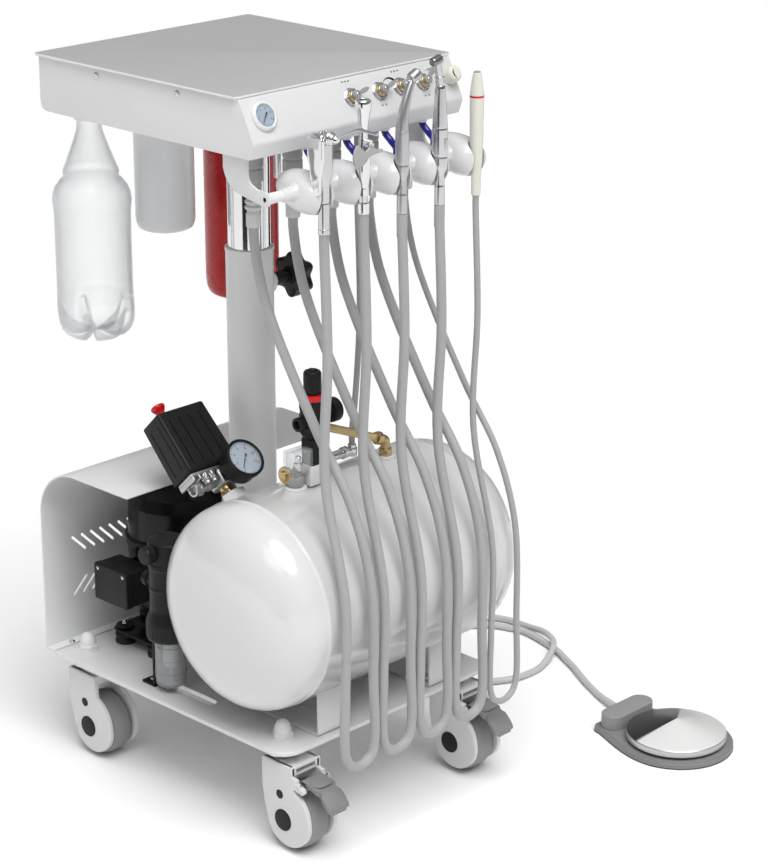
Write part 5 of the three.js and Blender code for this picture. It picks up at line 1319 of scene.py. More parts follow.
def compressor():
    """Oval canister with its rolled seam, stamped foot, grommets and terminal box."""
    width, depth, centre, box_x = 90, 68, 124, 94
    foot = BASE_TOP + SEAT + 16
    low = foot + 9
    seam = low + 106.4
    top = low + 190
    shares = [(0, low), (0.45, low), (0.66, low + 3), (0.8, low + 10), (0.91, low + 21),
              (0.96, low + 34), (0.97, low + 50), (0.97, seam - 5), (1.0, seam - 4.4), (1.02, seam - 3),
              (1.02, seam + 3), (1.0, seam + 4.4), (0.97, seam + 5), (0.966, top - 56),
              (0.95, top - 42), (0.90, top - 28), (0.8, top - 17), (0.66, top - 9.5), (0.5, top - 4.5),
              (0.25, top - 1), (0, top)]
    shell = lathe([(share * width, height) for share, height in shares], 128, 1.4)
    bmesh.ops.scale(shell, vec=(1, depth / width, 1), verts=shell.verts)
    parts = [(moved(shell, (0, centre, 0)), "black_gloss")]
    add(parts, "black_gloss", slab(rectangle(202, 84, 13, 0, centre, 8), 3, 0.8, 2), (0, 0, foot))
    add(parts, "black_gloss", block((-60, centre - 38, foot), (60, centre + 38, low + 6), 4, 4))
    for sx in (-1, 1):
        for sy in (-1, 1):
            z = BASE_TOP + SEAT
            grommet = lathe([(0, z), (12, z), (12, z + 4), (9.6, z + 5.4), (9.6, z + 7), (12, z + 8.4),
                             (12, z + 12.4), (9, z + 13), (8, foot), (8, foot + 3), (10.5, foot + 4),
                             (10.5, foot + 6.6), (0, foot + 6.6)], 56, 0.5)
            spot = (sx * 88, centre + sy * 29, 0)
            add(parts, "rubber", grommet, spot)
            add(parts, "steel", nut(8, foot + 6.5, foot + 9.6), spot)
            add(parts, "steel", rod(2.6, foot + 9, foot + 12, 24, 0.4), spot)
    stub = lathe([(0, 0), (6, 0), (6, 9), (4.5, 10), (4.5, 40), (0, 40)], 40, 0.5)
    for shape, finish in ((stub, "black"), (nut(12, 8, 14), "brass")):
        add(parts, finish, shape, (-width - 30, centre - 60, seam - 30), "x")
    bracket = block((-width + 4, centre - 64, seam - 36), (-width + 14, centre - 25, seam - 24), 1.2)
    add(parts, "black", bracket)
    bridge = block((SEAT - box_x, centre - 18, 199), (-width + 12, centre + 18, 232.5), 1)
    add(parts, "black_gloss", bridge)
    piece("compressor_can", "base", parts, ("compressor",))
    lid = moved(slab(rectangle(45.5, 58, 3, 0, 0, 4), 10, 1.6, 3), (0, 0, 28.3))
    tray = slab(rectangle(43.9, 56.4, 2.4, 0, 0, 4), 28.4, 0.8, 2)
    box_parts = placed([(lid, "black"), (tray, "black")], (-box_x, centre, 215.75), "-x")
    for y in (centre - 22, centre + 22):
        add(box_parts, "steel", screw_head(2.4, 0.9), (-132, y, 232.5), "-x")
    piece("terminals", "base", box_parts, ("terminal_box",))


def separator():
    """Head with its bell, port and bracket, and the clear bowl under it."""
    x, y = -139, 12
    floor = BASE_TOP + SEAT
    bell = floor + 66
    top = bell + 124
    head = [(18.6, bell + 0.3), (24.4, bell), (26, bell + 1.5), (27, bell + 4), (27, bell + 21),
            (26.2, bell + 24), (22.6, bell + 34), (22, bell + 37), (22, bell + 60), (22.8, bell + 61),
            (22.8, bell + 64), (22, bell + 65), (22, bell + 86), (23.3, bell + 88), (23.3, bell + 93),
            (22.6, bell + 94), (23, bell + 98), (23, top - 7), (22, top - 5.2), (14, top - 1.6),
            (12, top - 0.2), (0, top), (0, bell + 8), (18.6, bell + 8), (18.6, bell + 0.3)]
    parts = [(lathe(head, 96, 0.5), "black")]
    for k in range(28):
        rib = block((26, -1, bell + 4), (27.4, 1, bell + 20), 0.35, 1)
        add(parts, "black", rib, turn=(0, 0, 360 / 28 * k))
    port = lathe([(0, 8), (7, 8), (7, 24), (9, 25), (9, 32), (5.6, 32), (5.2, 29), (0, 29)], 48, 0.5)
    add(parts, "black", port, (0, 6, bell + 62), "y")
    bolt = lathe([(0, 20), (6.5, 20), (6.5, 28), (10.4, 29), (10.4, 38), (9.2, 40), (0, 40)], 48, 0.5)
    add(parts, "black", bolt, (4, 0, top - 16), "-x")
    bracket = [(18, floor), (21, floor), (21, bell + 74), (18, bell + 74)]
    add(parts, "black", side_slab(bracket, -10, 10, 0.5))
    add(parts, "black", block((-10, 18, floor), (10, 40, floor + 3), 0.6))
    add(parts, "steel", screw_head(4, 2.4), (0, 31, floor + 3))
    piece("separator_top", "base", placed(parts, (x, y, 0)), ("separator_head",))
    bowl = [(0, floor + 2.6), (5.6, floor + 2.6), (11, floor + 8), (16.3, floor + 14),
            (16.3, floor + 71), (18, floor + 71), (18, floor + 14), (17, floor + 9.6),
            (13, floor + 6.6), (7, floor + 5), (7, floor), (0, floor)]
    bowl_parts = [(lathe(bowl, 96, 0.5), "bowl")]
    for z in (floor + 24, floor + 40, floor + 56):
        band = lathe([(17.8, z), (18.5, z + 0.5), (18.5, z + 1.5), (17.8, z + 2)], 64, 0.1)
        add(bowl_parts, "bowl", band)
    element = lathe([(0, floor + 30), (7, floor + 30), (8.6, floor + 33), (8.6, floor + 62),
                     (0, floor + 62)], 48, 0.6)
    add(bowl_parts, "frosted", element)
    add(bowl_parts, "die_cast", rod(2, floor + 14, floor + 71, 24))
    piece("bowl", "base", placed(bowl_parts, (x, y, 0)), ("separator_bowl",))


# Control box fittings
def panel_fittings():
    """Gauge, valve stems, scale arcs and small marks on the sloped panel."""
    bezel = lathe([(0, -1), (16, -1), (16, 1.4), (15.6, 3.2), (14.4, 4.6), (13.2, 5), (12.3, 4.6),
                   (12, 3.4), (0, 3.4)], 96, 0.4)
    shapes = [(bezel, "white")]
    shapes += placed(gauge_dial(11.9, ("0", "2", "4", "6", "8", "10"), 10), (0, 0, 3.8))
    parts = [(on_panel(shape, -131), finish) for shape, finish in shapes]
    for i, x in enumerate(VALVE_XS):
        wide = 17 if i < 2 else 16
        stem = lathe([(0, 3.6), (6.6, 3.6), (6.6, 4.6), (6.2, 4.9), (6.2, 6.6), (5.4, 7.4), (0, 7.4)],
                     56, 0.3)
        washer = rod(10.2, -0.5, 0.8, 56, 0.2)
        for shape, finish in ((washer, "steel"), (nut(wide, 0.8, 4, 0.5), "steel"), (stem, "brass")):
            add(parts, finish, on_panel(shape, x))
        dots = [(-7, 17), (-2.5, 17), (2, 17)] if i % 2 == 0 else [(-3, -16), (2.5, -16)]
        for dx, dy in dots:
            dash = block((dx, dy, -0.05), (dx + 2.6, dy + 1.6, 0.07), 0)
            add(parts, "mark", on_panel(dash, x))
    for x, lean in ((56, 0), (120, 20)):
        add(parts, "print", on_panel(scale_arc(11.6, lean), x))
    piece("panel", "upper", parts)


def scale_arc(radius, lean):
    """A black arc that swells from a point, as a more-or-less mark."""
    outer = arc((0, 0), radius, 150 - lean, 40 - lean, 20)
    shares = [1 - 0.28 * (k / 20) for k in range(len(outer))]
    inner = [(a * share, b * share) for share, (a, b) in zip(shares, outer)]
    return moved(slab(outer + inner[:0:-1], 0.12), (0, 1.3, 0))


def valve_levers():
    """Four quarter-turn caps with their wings."""
    height = 7.6
    for i, x in enumerate(VALVE_XS):
        turn, wide = ((-76, 2.9), (-74, 2.9), (-52, 4.0), (-50, 4.0))[i]
        cap = lathe([(0, 0), (5.0, 0), (5.0, 3.4), (4.4, 4.2), (0, 4.4)], 56, 0.4)
        outline = [(-2.4, -2), (2.4, -2), (1.9, 6), (wide, 11), (wide * 0.8, 16), (0, 20),
                   (-wide * 0.8, 16), (-wide, 11), (-1.9, 6)]
        wing = moved(slab(eased(outline, 3, 6), 2.0, 0.7, 3), (0, 0, 1.2))
        bmesh.ops.bisect_plane(wing, geom=wing.verts[:] + wing.edges[:] + wing.faces[:],
                               plane_co=(0, 11, 0), plane_no=(0, 1, 0), dist=0.001)
        for vertex in wing.verts:
            vertex.co.z += 2.2 * max(0.0, (vertex.co.y - 6) / 20) ** 1.5
        screw = moved(screw_head(2.3, 1.2), (0, 0, 4.4))
        shapes = [(on_panel(moved(shape, (0, 0, height), (0, 0, turn)), x), finish)
                  for shape, finish in ((cap, "lever"), (wing, "lever"), (screw, "satin_steel"))]
        piece(f"wing_{i + 1}", f"valve_lever_{i + 1}", shapes, (f"valve_lever_{i + 1}",))
    x = 144.6
    knob = lathe([(0, SEAT), (9.5, SEAT), (9.5, 9), (9, 11.5), (7.6, 13.4), (5, 14.1), (0, 14.3)],
                 80, 0.6)
    mark = arc((0, 0), 5.8, 120, 250, 18)
    inner = [(a + 1.5 * math.sin(math.pi * k / 18), b) for k, (a, b) in enumerate(mark)]
    crescent = moved(slab(mark + inner[-2:0:-1], 0.5), (0, 0, 13.86))
    shapes = [(on_panel(knob, x), "cream"), (on_panel(crescent, x), "print")]
    piece("flow_dial", "flow_knob", shapes, ("flow_knob",))


def box_underside():
    """Ribbed strain reliefs and the short blue tubes under the control box."""
    parts = []
    low = CASE_BOTTOM - RELIEF_LENGTH
    for x in HOLDER_XS:
        sleeve = [(0, low + 14), (3.6, low + 14), (3.6, low), (7.4, low), (8, low + 1), (8, low + 14),
                  (7.2, low + 16)]
        for k in range(4):
            z = low + 17.5 + 6.4 * k
            sleeve += [(6.4, z), (6.4, z + 1.6), (9.0, z + 2.2), (9.1, z + 5.0), (6.8, z + 5.8)]
        sleeve += [(6.4, low + 44), (0, low + 44)]
        socket = [(0, low + 43), (9.4, low + 43), (9.4, low + 49), (11, low + 50.5), (11, low + 63),
                  (10.2, low + 64), (10.2, low + 65.5), (11, low + 66.5), (11, CASE_BOTTOM + 0.2),
                  (0, CASE_BOTTOM + 0.2)]
        add(parts, "relief_light", lathe(sleeve, 56, 0.4), (x, RELIEF_Y, 0))
        # The upper socket takes the darker grey as painted shade under the case; the ribbed sleeve
        # below keeps the lighter grey
        add(parts, "relief", lathe(socket, 56, 0.4), (x, RELIEF_Y, 0))
    for x in HOLDER_XS[:4]:
        path = smooth_path([
            (x + 18, HOLDER_Y + 20, CASE_BOTTOM + 1.5),
            (x + 19, HOLDER_Y + 18, CASE_BOTTOM - 6),
            (x + 20, HOLDER_Y + 11, CASE_BOTTOM - 13),
            (x + 17, HOLDER_Y + 1, CASE_BOTTOM - 18),
            (x + 9, HOLDER_Y - 8, CASE_BOTTOM - 22),
        ], 8)
        add(parts, "blue", tube(path, 3.8, 5))
        collar = lathe([(4.1, 770.4), (6.2, 770.4), (6.6, 771), (6.6, SOCKET_TOP), (4.1, SOCKET_TOP)],
                       40, 0.3)
        add(parts, "white", collar, (x + 18, HOLDER_Y + 20, 0))
    piece("box_fittings", "upper", parts)


def holders():
    """Bent arms, the rail and five egg holders with their wells and slots."""
    top = CASE_BOTTOM - SEAT
    y = HOLDER_Y
    outline = [(y + 63, top), (y + 63, top - 16)]
    outline += bezier((y + 63, top - 16), (y + 60, RAIL_Z + 12), (y + 52, RAIL_Z + 1),
                      (y + 38, RAIL_Z - 1), 10)
    outline += bezier((y + 38, RAIL_Z - 1), (y + 22, RAIL_Z - 4), (y + 10, RAIL_Z - ARM_RADIUS),
                      (y, RAIL_Z - ARM_RADIUS), 8)
    outline += arc((y, RAIL_Z), ARM_RADIUS, -90, -270, 16)[1:]
    outline += bezier((y, RAIL_Z + ARM_RADIUS), (y + 8, RAIL_Z + 8), (y + 12, RAIL_Z + 8),
                      (y + 16, RAIL_Z + 10), 5)
    outline += bezier((y + 16, RAIL_Z + 10), (y + 24, RAIL_Z + 13), (y + 26, RAIL_Z + 17),
                      (y + 26, RAIL_Z + 24), 8)
    outline += [(y + 26, top)]
    parts = [(along(rod(RAIL_RADIUS, -146, 158, 56, 0.8), "x", (0, y, RAIL_Z)), "white")]
    for x in (-146, 115):
        add(parts, "cabinet", side_slab(outline, x - 1.5, x + 1.5, 0.6, 2))
        flange = slab(rectangle(14, 37, 3, x + 7, y + 44.5, 4), 3, 0.6, 2)
        add(parts, "cabinet", flange, (0, 0, top - 3))
        add(parts, "steel", screw_head(3, 1.6), (x + 8, y + 44, top - 3), "-z")
    hole = lathe([(2.4, -0.4), (3.4, -0.4), (3.4, 0.5), (2.4, 0.3)], 40, 0.1)
    add(parts, "white", hole, (-147.4, y, RAIL_Z), "-x")
    # Painted shade: the black disc fills the ring's hole as the dark inside of the rail's open end
    add(parts, "black", rod(2.5, -0.5, 0.1, 40, 0), (-147.4, y, RAIL_Z), "-x")
    piece("rail", "upper", parts, ("holder_rail",))
    for i, x in enumerate(HOLDER_XS):
        profile = []
        steps = 40
        for k in range(steps + 1):
            angle = k / steps * math.pi
            back = angle < math.pi / 2
            bulge = 22 * math.sin(angle) ** (0.82 if back else 0.56) if 0 < k < steps else 0
            profile.append((bulge, -(39 if back else 29.5) * math.cos(angle)))
        egg = moved(lathe(profile, 96), (0, 0, -2.5), (90 + EGG_TILT, 0, 0))
        boss = lathe([(0, -36), (6.4, -36), (7.2, -35), (7.6, -28), (8.6, -22), (11, -17), (0, -17)],
                     56, 0.5)
        well = moved(rod(WELLS[i], -40, 40, 64, 0), (0, -25, 0))
        slot = slab(eased([(-9, -14, 0), (-6, -3, 2), (-6, 0, 0), (6, 0, 0), (6, -3, 2), (9, -14, 0)],
                          2, 4), 90)
        opening = carved(well, moved(slot, (0, -25, -45)), "UNION")
        egg = carved(carved(egg, along(rod(6.05, -30, 30, 56, 0), "x")), opening)
        parts = [(moved(shape, (x, y, RAIL_Z)), "holder") for shape in (egg, along(boss, "x"))]
        piece(f"egg_{i + 1}", "upper", parts, (f"holder_{i + 1}",))


# Instruments, drawn about the top end of their hose
def knurl(radius, low, high, count):
    """Fine ribs round a collar."""
    return moved(slab(lobed(radius, 0.35, count, 4), high - low, 0.2, 1), (0, 0, low))


def stand(index, shapes):
    """Places an instrument's shapes over its hose."""
    return placed(shapes, (HOLDER_XS[index], INSTRUMENT_Y, HOSE_TOPS[index]))


def syringe():
    """Three-way syringe with its plate, two buttons and bent nozzle."""
    handle = lathe([(0, 0), (5.6, 0), (6.1, 1), (6.1, 33), (5.6, 34), (6.1, 35), (6.1, 52), (7, 56),
                    (9, 62), (10, 70), (10, 96), (9, 100), (0, 100)], 72, 0.7)
    head = block((-10.6, -8, 80), (9, 12, 107.4), 4.6, 5)
    plate_outline = [(-6, 60), (-6, 44), (6, 40), (8, 72), (11, 84), (11, 102), (9.5, 104), (-9.5, 104),
                     (-11, 102), (-11, 82)]
    plate = side_slab(eased(plate_outline, 3, 5), -13.2, -8.2, 1.2, 3)
    seat = lathe([(0, 6), (7.4, 6), (7.4, 11), (6.4, 12), (6.4, 13.4), (5.4, 14), (0, 14)], 64, 0.4)
    cone = lathe([(0, 13), (5.6, 13), (5.6, 15), (4.6, 16), (4.4, 19), (3, 21), (2.2, 22), (0, 22)],
                 56, 0.4)
    nozzle = tube(smooth_path([(0, -14, 102.5), (0, -22, 105.8), (0, -36, 111.6), (0, -48, 116.8),
                               (0, -52, 118), (0, -58, 118.2), (0, -77, 117.4)], 10), 1.9, 5, 0.85)
    shapes = [(handle, "steel"), (head, "steel"), (plate, "chrome")]
    for shape in (seat, cone):
        add(shapes, "chrome", shape, (0, 0, 102.5), "-y")
    add(shapes, "satin_steel", nozzle)
    add(shapes, "steel", rod(6.5, 0.2, 6, 56, 0.4))
    for side in (-1, 1):
        well = lathe([(2.9, 103), (2.9, 104.1), (4.3, 104.1), (4.6, 103)], 40, 0.2)
        add(shapes, "steel", well, (side * 4, 0, 0))
    piece("syringe_body", "syringe", stand(0, shapes), ("syringe",))
    for side, name in ((-1, "water_button"), (1, "air_button")):
        cap = lathe([(0, 104.3), (2.6, 104.3), (2.6, 108.4), (2.2, 109.1), (0, 109.3)], 48, 0.3)
        grip = lathe([(2.4, 106), (3.0, 106.2), (3.0, 106.8), (2.4, 107)], 40, 0.1)
        made = stand(0, [(moved(shape, (side * 4, 0, 0)), "steel") for shape in (cap, grip)])
        piece(name + "_cap", name, made, (name,))


def suction():
    """Waisted suction valve and its thumb lever."""
    body = lathe([(0, 0), (6.0, 0), (6.4, 1), (6.4, 12), (5.9, 13), (5.9, 27), (5.6, 29), (6.2, 34),
                  (6.8, 39), (7.2, 46), (7.6, 56), (7.6, 63), (7.0, 68), (5.9, 74), (4.9, 80),
                  (4.6, 86), (4.9, 93), (6.2, 102), (7.6, 109), (8.4, 113), (8.6, 117), (8.2, 120),
                  (7, 121.6), (5.2, 121.8), (4.8, 121), (4.8, 106), (0, 106)], 80, 0.8)
    pivot_z = 76
    # Painted shade: a near-black disc inside the top recess stands in for the shade deep in the bore
    bore = rod(4.85, 112, 113, 48, 0)
    shapes = [(body, "chrome"), (bore, "dark"), (knurl(6.7, 14, 20, 30), "chrome")]
    add(shapes, "chrome", rod(4.6, 3, 9.8, 40, 0.3), (0, 0, pivot_z), "-y")
    piece("suction_body", "suction_valve", stand(1, shapes), ("suction_valve",))
    outline = [(16.5, -7), (7, -6.4), (3, -2.6), (0, -1.6), (-3, -2.6), (-8, -6.4), (-13, -4.6),
               (-18, 1), (-22, 2.6), (-26.6, -2), (-29, -10.4), (-26, -18), (-21, -21.5), (-14, -21),
               (-7.7, -17.5), (-4, -12.5), (4, -11), (16.5, -10.4)]
    plate = slab(eased(outline, 3, 5), 3.2, 1.0, 3)
    for vertex in plate.verts:
        vertex.co.z += 0.004 * min(0.0, vertex.co.x + 6) ** 2
    rivet = lathe([(0, 3.0), (2.6, 3.0), (2.2, 3.8), (0, 4.1)], 40, 0.2)
    made = placed([(plate, "lever_grey"), (rivet, "steel")], (0, -10, pivot_z), "-y")
    piece("thumb_lever", "suction_lever", stand(1, made), ("suction_lever",))


def turbine():
    """High-speed handpiece: coupling, knurled grip and bent neck with its small head."""
    body = lathe([(0, 0), (5.4, 0), (5.8, 0.8), (5.8, 20), (5.3, 22), (5.1, 30), (5.1, 38), (6.6, 42),
                  (7.2, 46), (7.4, 52), (7.0, 53), (7.0, 54), (7.4, 55), (7.4, 84), (7.3, 90), (0, 90)],
                 80, 0.6)
    neck_path = smooth_path([(0, 0, 86), (0.1, 0, 94), (0.7, 0, 102), (2.3, 0, 110), (5, 0, 119),
                             (8.4, 0, 127.6), (12.4, 0, 136), (16.4, 0, 143)], 10)
    shapes = [(body, "satin_steel"), (tube(neck_path, 7.3, 7, 0.5), "satin_steel")]
    for k in range(5):
        add(shapes, "satin_steel", knurl(7.5, 57 + 2.3 * k, 58.5 + 2.3 * k, 36))
    head = lathe([(0, -7), (4.2, -7), (4.6, -6.4), (6, -5.6), (6.2, -4.6), (6.2, 5), (5.6, 6.2),
                  (4.8, 7), (0, 7.2)], 64, 0.4)
    collet = lathe([(0, -9.4), (1.2, -9.4), (1.2, -7), (3, -6.8), (0, -6.6)], 40, 0.1)
    shapes += placed([(head, "satin_steel"), (collet, "steel")], (18, 0, 145), (0, 62, 0))
    piece("turbine", "high_speed_handpiece", stand(2, shapes), ("high_speed_handpiece",))


def low_speed():
    """Low-speed handpiece: motor, knurled rings, cone neck and dark head."""
    body = lathe([(0, 0), (5.4, 0), (5.8, 0.8), (5.8, 20), (5.4, 22), (5.3, 34), (6.6, 36.5), (8.4, 40),
                  (8.7, 44), (8.7, 52), (8.2, 53), (8.2, 54.6), (8.7, 55.6), (8.7, 83), (8.2, 84.4),
                  (8.4, 86), (7.9, 93), (5.6, 127), (4.9, 130), (0, 130)], 80, 0.6)
    neck_path = smooth_path([(0, 0, 124), (-0.6, 0, 132), (-1.8, 0, 141), (-3.4, 0, 149),
                             (-5, 0, 156)], 10)
    shapes = [(body, "steel"), (tube(neck_path, 4.7, 6, 0.82), "steel")]
    for k in range(4):
        add(shapes, "satin_steel", knurl(8.85, 43 + 2.3 * k, 44.4 + 2.3 * k, 40))
    ring = lathe([(4.4, 137), (5.2, 137.4), (5.2, 139.6), (4.4, 140)], 48, 0.2)
    add(shapes, "steel", ring, (-1.2, 0, 0))
    add(shapes, "satin_steel", block((-2, -9.4, 62), (2, -8, 74), 0.8, 3))
    head = lathe([(0, -7), (3.8, -7), (4.6, -6.2), (5.1, -5), (5.1, 4.8), (4.6, 6.2), (3.6, 7),
                  (0, 7.2)], 64, 0.4)
    add(shapes, "dark_steel", head, (-6.4, 0, 157.4), (0, 75, 0))
    piece("low_speed", "low_speed_handpiece", stand(3, shapes), ("low_speed_handpiece",))


def scaler():
    """Cream scaler handpiece with its red ring and grey tip seat."""
    body = lathe([(0, 0), (4.8, 0), (5.2, 0.8), (5.4, 24), (5.9, 30), (6.8, 40), (7.5, 66), (7.7, 90),
                  (7.8, 108.4), (7.5, 108.8), (7.5, 110.6), (7.8, 111), (7.7, 113), (7.2, 117),
                  (4.7, 134.4), (4.2, 135.6), (0, 135.8)], 80, 0.6)
    ring = lathe([(7.4, 108.7), (7.95, 108.7), (7.95, 110.7), (7.4, 110.7)], 72, 0.2)
    tip = lathe([(0, 135), (3.9, 135), (3.9, 136.4), (3.3, 136.8), (0, 136.8)], 48, 0.2)
    shapes = [(body, "cream"), (ring, "red"), (tip, "relief")]
    piece("scaler", "scaler_handpiece", stand(4, shapes), ("scaler_handpiece",))


def hose_collars():
    """Grey sleeves where each hose joins its instrument."""
    sleeves = zip(HOLDER_XS, BODY_OF_HOSE, HOSE_TOPS, HOSE_RADII, SLEEVE_LENGTHS)
    for i, (x, body, top, radius, length) in enumerate(sleeves):
        low, high = top - length, top - 0.2
        inside, outside = radius - 0.5, radius + 0.35
        sleeve = lathe([(inside, low), (radius + 0.15, low + 0.2), (outside, low + 1), (outside, high),
                        (inside, high)], 56, 0.2)
        piece(f"sleeve_{i + 1}", body, [(moved(sleeve, (x, INSTRUMENT_Y, 0)), "hose")])


# Bottles
def clear_bottle():
    """Ribbed clear bottle with five feet."""
    outer = [(14, 0), (14, -6), (14.6, -11), (17, -19), (22.4, -34), (27.6, -48), (30, -54),
             (31.4, -57), (31.6, -60), (30.8, -62), (31.6, -64.5), (35, -68), (40.4, -75), (43.6, -83),
             (44.4, -91), (43.6, -99), (43.0, -105), (43, -160), (43, -196), (43.4, -200), (42.8, -202),
             (43.6, -205), (44, -219)]
    base = [(44, -223), (43.2, -230), (41, -237), (37, -242.6), (31, -247), (24, -249), (16, -247.8),
            (8, -244.4), (0, -243)]
    shape = lathe(outer + base, 120)
    for vertex in shape.verts:
        depth = -vertex.co.z
        if depth > 208:
            reach = math.hypot(vertex.co.x, vertex.co.y)
            angle = math.atan2(vertex.co.y, vertex.co.x)
            valley = max(0.0, math.cos(5 * angle)) ** 4
            fall = min(1.0, (depth - 208) / 26)
            vertex.co.z += 17 * valley * fall * min(1.0, reach / 26) * (1 if depth > 222 else fall)
            squeeze = 1 - 0.16 * valley * fall
            vertex.co.x *= squeeze
            vertex.co.y *= squeeze
    bmesh.ops.recalc_face_normals(shape, faces=shape.faces)
    bmesh.ops.solidify(shape, geom=shape.faces[:], thickness=0.9)
    piece("bottle_clear", "clear_bottle", [(moved(shape, (*CLEAR_AT, BOTTLE_TOP)), "clear")],
          ("clear_bottle",), crease=60)


def other_bottles():
    """Frosted cup and the red bottle with its domed shoulder."""
    length = 145.5
    outer = [(34, 0), (34, -6), (33.6, -8), (33.6, -20), (34, -22), (34, -length * 0.9),
             (33.2, -length * 0.94), (31, -length * 0.975), (25, -length * 0.995), (20, -length),
             (14, -length + 2), (0, -length + 3.4)]
    inner = [(0, -length + 5), (22, -length + 3), (30, -length + 6), (32.4, -length + 14), (32.4, 0),
             (34, 0)]
    cup = lathe(outer + inner, 112, 0.6)
    piece("bottle_frosted", "frosted_bottle",
          [(moved(cup, (*FROSTED_AT, CASE_BOTTOM - SEAT)), "frosted")],
          ("frosted_bottle",))
    length = 233
    outer = [(0, 0), (14, 0), (14, -length * 0.05), (18, -length * 0.075), (28, -length * 0.12),
             (36.5, -length * 0.165), (41.2, -length * 0.21), (43, -length * 0.26), (43, -length * 0.9),
             (42, -length * 0.95), (39, -length * 0.98), (34, -length * 0.994), (25, -length),
             (16, -length + 3), (0, -length + 6)]
    flask = lathe(outer, 120, 1.2)
    piece("bottle_red", "red_bottle", [(moved(flask, (*RED_AT, BOTTLE_TOP)), "red_bottle")],
          ("red_bottle",), crease=60)


# Foot control
def foot_control():
    """Teardrop base with its heel block and the domed steel disc."""
    x, y = FOOT_AT
    outline = arc((0, 0), 68, 180, 360, 36)
    outline += bezier((68, 0), (68, 30), (52, 60), (43, 84), 12)
    outline += arc((33, 86), 10, -10, 90, 8)
    outline += arc((-33, 86), 10, 90, 190, 8)
    outline += bezier((-43, 84), (-52, 60), (-68, 30), (-68, 0), 12)[:-1]
    slab_low = slab(outline, 7, 1.8, 4)
    lip = slab([(a * 0.955, b * 0.97) for a, b in outline], 1.0, 0.45, 2)
    heel = slab(rectangle(80, 30, 14.6, 0, 76, 12), 24.7, 1.5, 4)
    heel = carved(moved(heel, (0, 0, 0.6)), rod(61, 7.5, 30, 96, 0))
    neck = [lathe([(0, -6), (8.4, -6), (8.4, 2), (7, 3.5), (6.2, 15.3), (0, 15.3)], 48, 0.8)]
    for z in (13.8, 10.8, 7.8):
        neck.append(lathe([(6.2, z), (7, z - 0.4), (7, z - 1.6), (6.2, z - 2)], 40, 0.2))
    parts = [(slab_low, "foot"), (moved(lip, (0, 0, 6.6)), "foot"), (heel, "heel")]
    # Painted shadow: a black band 1.2 mm high, a little wider than the base, stands in for the shadow
    # line under its edge
    add(parts, "black", slab([(a * 1.005, b * 1.005) for a, b in outline], 1.2, 0.3, 1))
    for shape in neck:
        add(parts, "foot", along(shape, "y"), (8.2, 90, 9), (0, 0, -24))
    piece("foot_base", "base", placed(parts, (x, y, 0)), ("foot_control_base",))
    rim = 20.3
    crown = [(0, rim + 14)]
    for k in range(1, 25):
        share = k / 24
        crown.append((57.4 * share, rim + 14 * (1 - share ** 1.12)))
    crown += [(59.2, rim - 0.8), (59.2, rim - 1.6), (0, rim - 1.6)]
    band = [(0, rim - 1.8), (58.6, rim - 1.8), (59.2, rim - 0.9), (60, rim - 1.8), (60, rim - 8.6),
            (58.6, rim - 10), (14, rim - 10), (14, 4.9), (0, 4.9)]
    parts = [(lathe(crown, 144, 0.5), "disc"), (lathe(band, 144, 0.3), "satin_steel")]
    piece("foot_disc", "foot_pedal_disc", placed(parts, (x, y, 0)), ("foot_pedal_disc",))


class UnitOperator:
    """What every builder of the unit shares."""
    bl_options = {"REGISTER", "UNDO"}


class UNIT_OT_finishes(UnitOperator, bpy.types.Operator):
    """Makes every material"""
    bl_idname = "unit.finishes"
    bl_label = "Finishes"

    def execute(self, context):
        FINISH.update(finishes(context.scene.unit_colours))
        return {"FINISHED"}


class UNIT_OT_camera(UnitOperator, bpy.types.Operator):
    """Sets the camera at the picture's view"""
    bl_idname = "unit.camera"
    bl_label = "Camera"

    def execute(self, context):
        camera()
        return {"FINISHED"}


class UNIT_OT_hoses(UnitOperator, bpy.types.Operator):
    """Makes the instrument hoses, the supply hose and the foot control's hose"""
    bl_idname = "unit.hoses"
    bl_label = "Hoses"

    def execute(self, context):
        sizes = context.scene.unit_sizes
        instrument_hoses(sizes)
        supply_hose(sizes)
        foot_hose(sizes)
        hose_collars()
        return {"FINISHED"}


class UNIT_OT_base(UnitOperator, bpy.types.Operator):
    """Makes the base plate, the tank on it and the rear hood"""
    bl_idname = "unit.base"
    bl_label = "Base, tank and hood"

    def execute(self, context):
        base_plate()
        air_tank()
        rear_hood()
        return {"FINISHED"}


class UNIT_OT_casters(UnitOperator, bpy.types.Operator):
    """Makes four casters, two of them with brakes"""
    bl_idname = "unit.casters"
    bl_label = "Casters"

    def execute(self, context):
        for name in CORNERS:
            caster(name)
        return {"FINISHED"}


class UNIT_OT_air(UnitOperator, bpy.types.Operator):
    """Makes the compressor, separator, pressure switch and regulator"""
    bl_idname = "unit.air"
    bl_label = "Compressor and air fittings"

    def execute(self, context):
        compressor()
        separator()
        switch_group()
        regulator_group()
        return {"FINISHED"}


class UNIT_OT_column(UnitOperator, bpy.types.Operator):
    """Makes the column, its mast and the star knob"""
    bl_idname = "unit.column"
    bl_label = "Column"

    def execute(self, context):
        column()
        return {"FINISHED"}


class UNIT_OT_control_box(UnitOperator, bpy.types.Operator):
    """Makes the control box, its panel, levers and underside"""
    bl_idname = "unit.control_box"
    bl_label = "Control box"

    def execute(self, context):
        control_box()
        panel_fittings()
        valve_levers()
        box_underside()
        return {"FINISHED"}


class UNIT_OT_holders(UnitOperator, bpy.types.Operator):
    """Makes the rail and the egg-shaped holders"""
    bl_idname = "unit.holders"
    bl_label = "Holders"

    def execute(self, context):
        holders()
        return {"FINISHED"}


class UNIT_OT_instruments(UnitOperator, bpy.types.Operator):
    """Makes the five instruments"""
    bl_idname = "unit.instruments"
    bl_label = "Instruments"

    def execute(self, context):
        syringe()
        suction()
        turbine()
        low_speed()
        scaler()
        return {"FINISHED"}


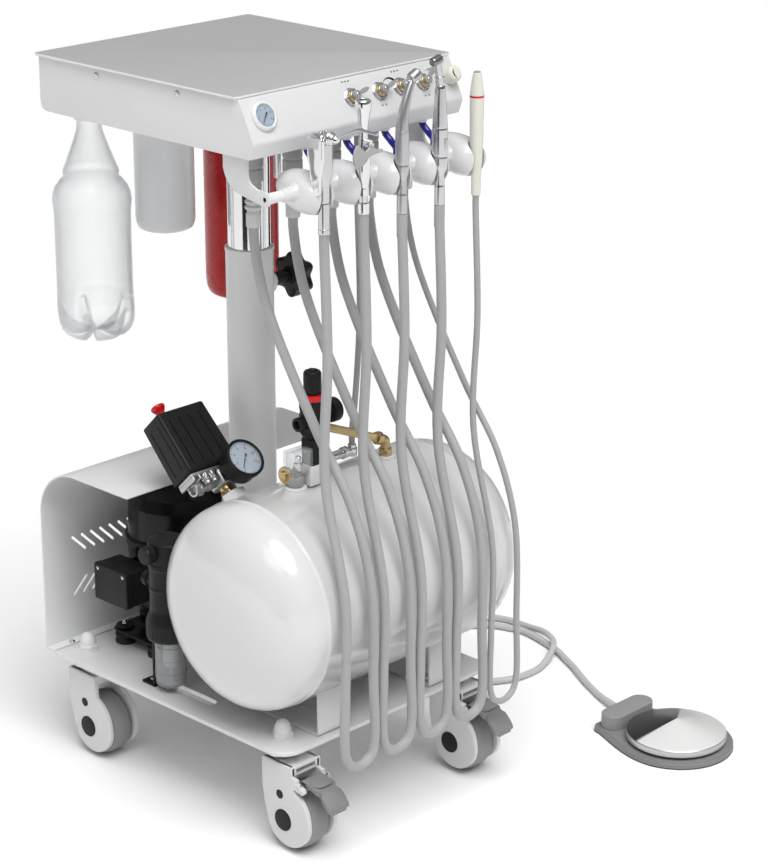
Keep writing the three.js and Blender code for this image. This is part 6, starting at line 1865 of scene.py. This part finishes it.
class UNIT_OT_bottles(UnitOperator, bpy.types.Operator):
    """Makes the clear, frosted and red bottles"""
    bl_idname = "unit.bottles"
    bl_label = "Bottles"

    def execute(self, context):
        clear_bottle()
        other_bottles()
        return {"FINISHED"}


class UNIT_OT_foot_control(UnitOperator, bpy.types.Operator):
    """Makes the foot control"""
    bl_idname = "unit.foot_control"
    bl_label = "Foot control"

    def execute(self, context):
        foot_control()
        return {"FINISHED"}


class UNIT_OT_stage(UnitOperator, bpy.types.Operator):
    """Makes the floor, the lights and the surround"""
    bl_idname = "unit.stage"
    bl_label = "Stage"

    def execute(self, context):
        stage()
        return {"FINISHED"}


STEPS = [UNIT_OT_finishes, UNIT_OT_camera, UNIT_OT_hoses, UNIT_OT_base, UNIT_OT_casters, UNIT_OT_air,
         UNIT_OT_column, UNIT_OT_control_box, UNIT_OT_holders, UNIT_OT_instruments, UNIT_OT_bottles,
         UNIT_OT_foot_control, UNIT_OT_stage]


class UNIT_PT_panel(bpy.types.Panel):
    """Lists the builders of the unit with their sizes and colours"""
    bl_label = "Dental unit"
    bl_space_type = "VIEW_3D"
    bl_region_type = "UI"
    bl_category = "Dental unit"

    def draw(self, context):
        layout = self.layout
        for settings in (context.scene.unit_sizes, context.scene.unit_colours):
            box = layout.box()
            for name in settings.bl_rna.properties.keys():
                if name not in ("rna_type", "name"):
                    box.prop(settings, name)
        for step in STEPS:
            layout.operator(step.bl_idname)


CLASSES = [Sizes, Colours, *STEPS, UNIT_PT_panel]


def register():
    """Registers the settings, the operators and the panel."""
    for item in CLASSES:
        bpy.utils.register_class(item)
    bpy.types.Scene.unit_sizes = bpy.props.PointerProperty(type=Sizes)
    bpy.types.Scene.unit_colours = bpy.props.PointerProperty(type=Colours)


def unregister():
    """Takes them out again."""
    del bpy.types.Scene.unit_colours
    del bpy.types.Scene.unit_sizes
    for item in reversed(CLASSES):
        bpy.utils.unregister_class(item)


def main():
    """Builds the unit."""
    register()
    for step in STEPS:
        getattr(bpy.ops.unit, step.bl_idname.split(".")[1])()


if __name__ == "__main__":
    main()
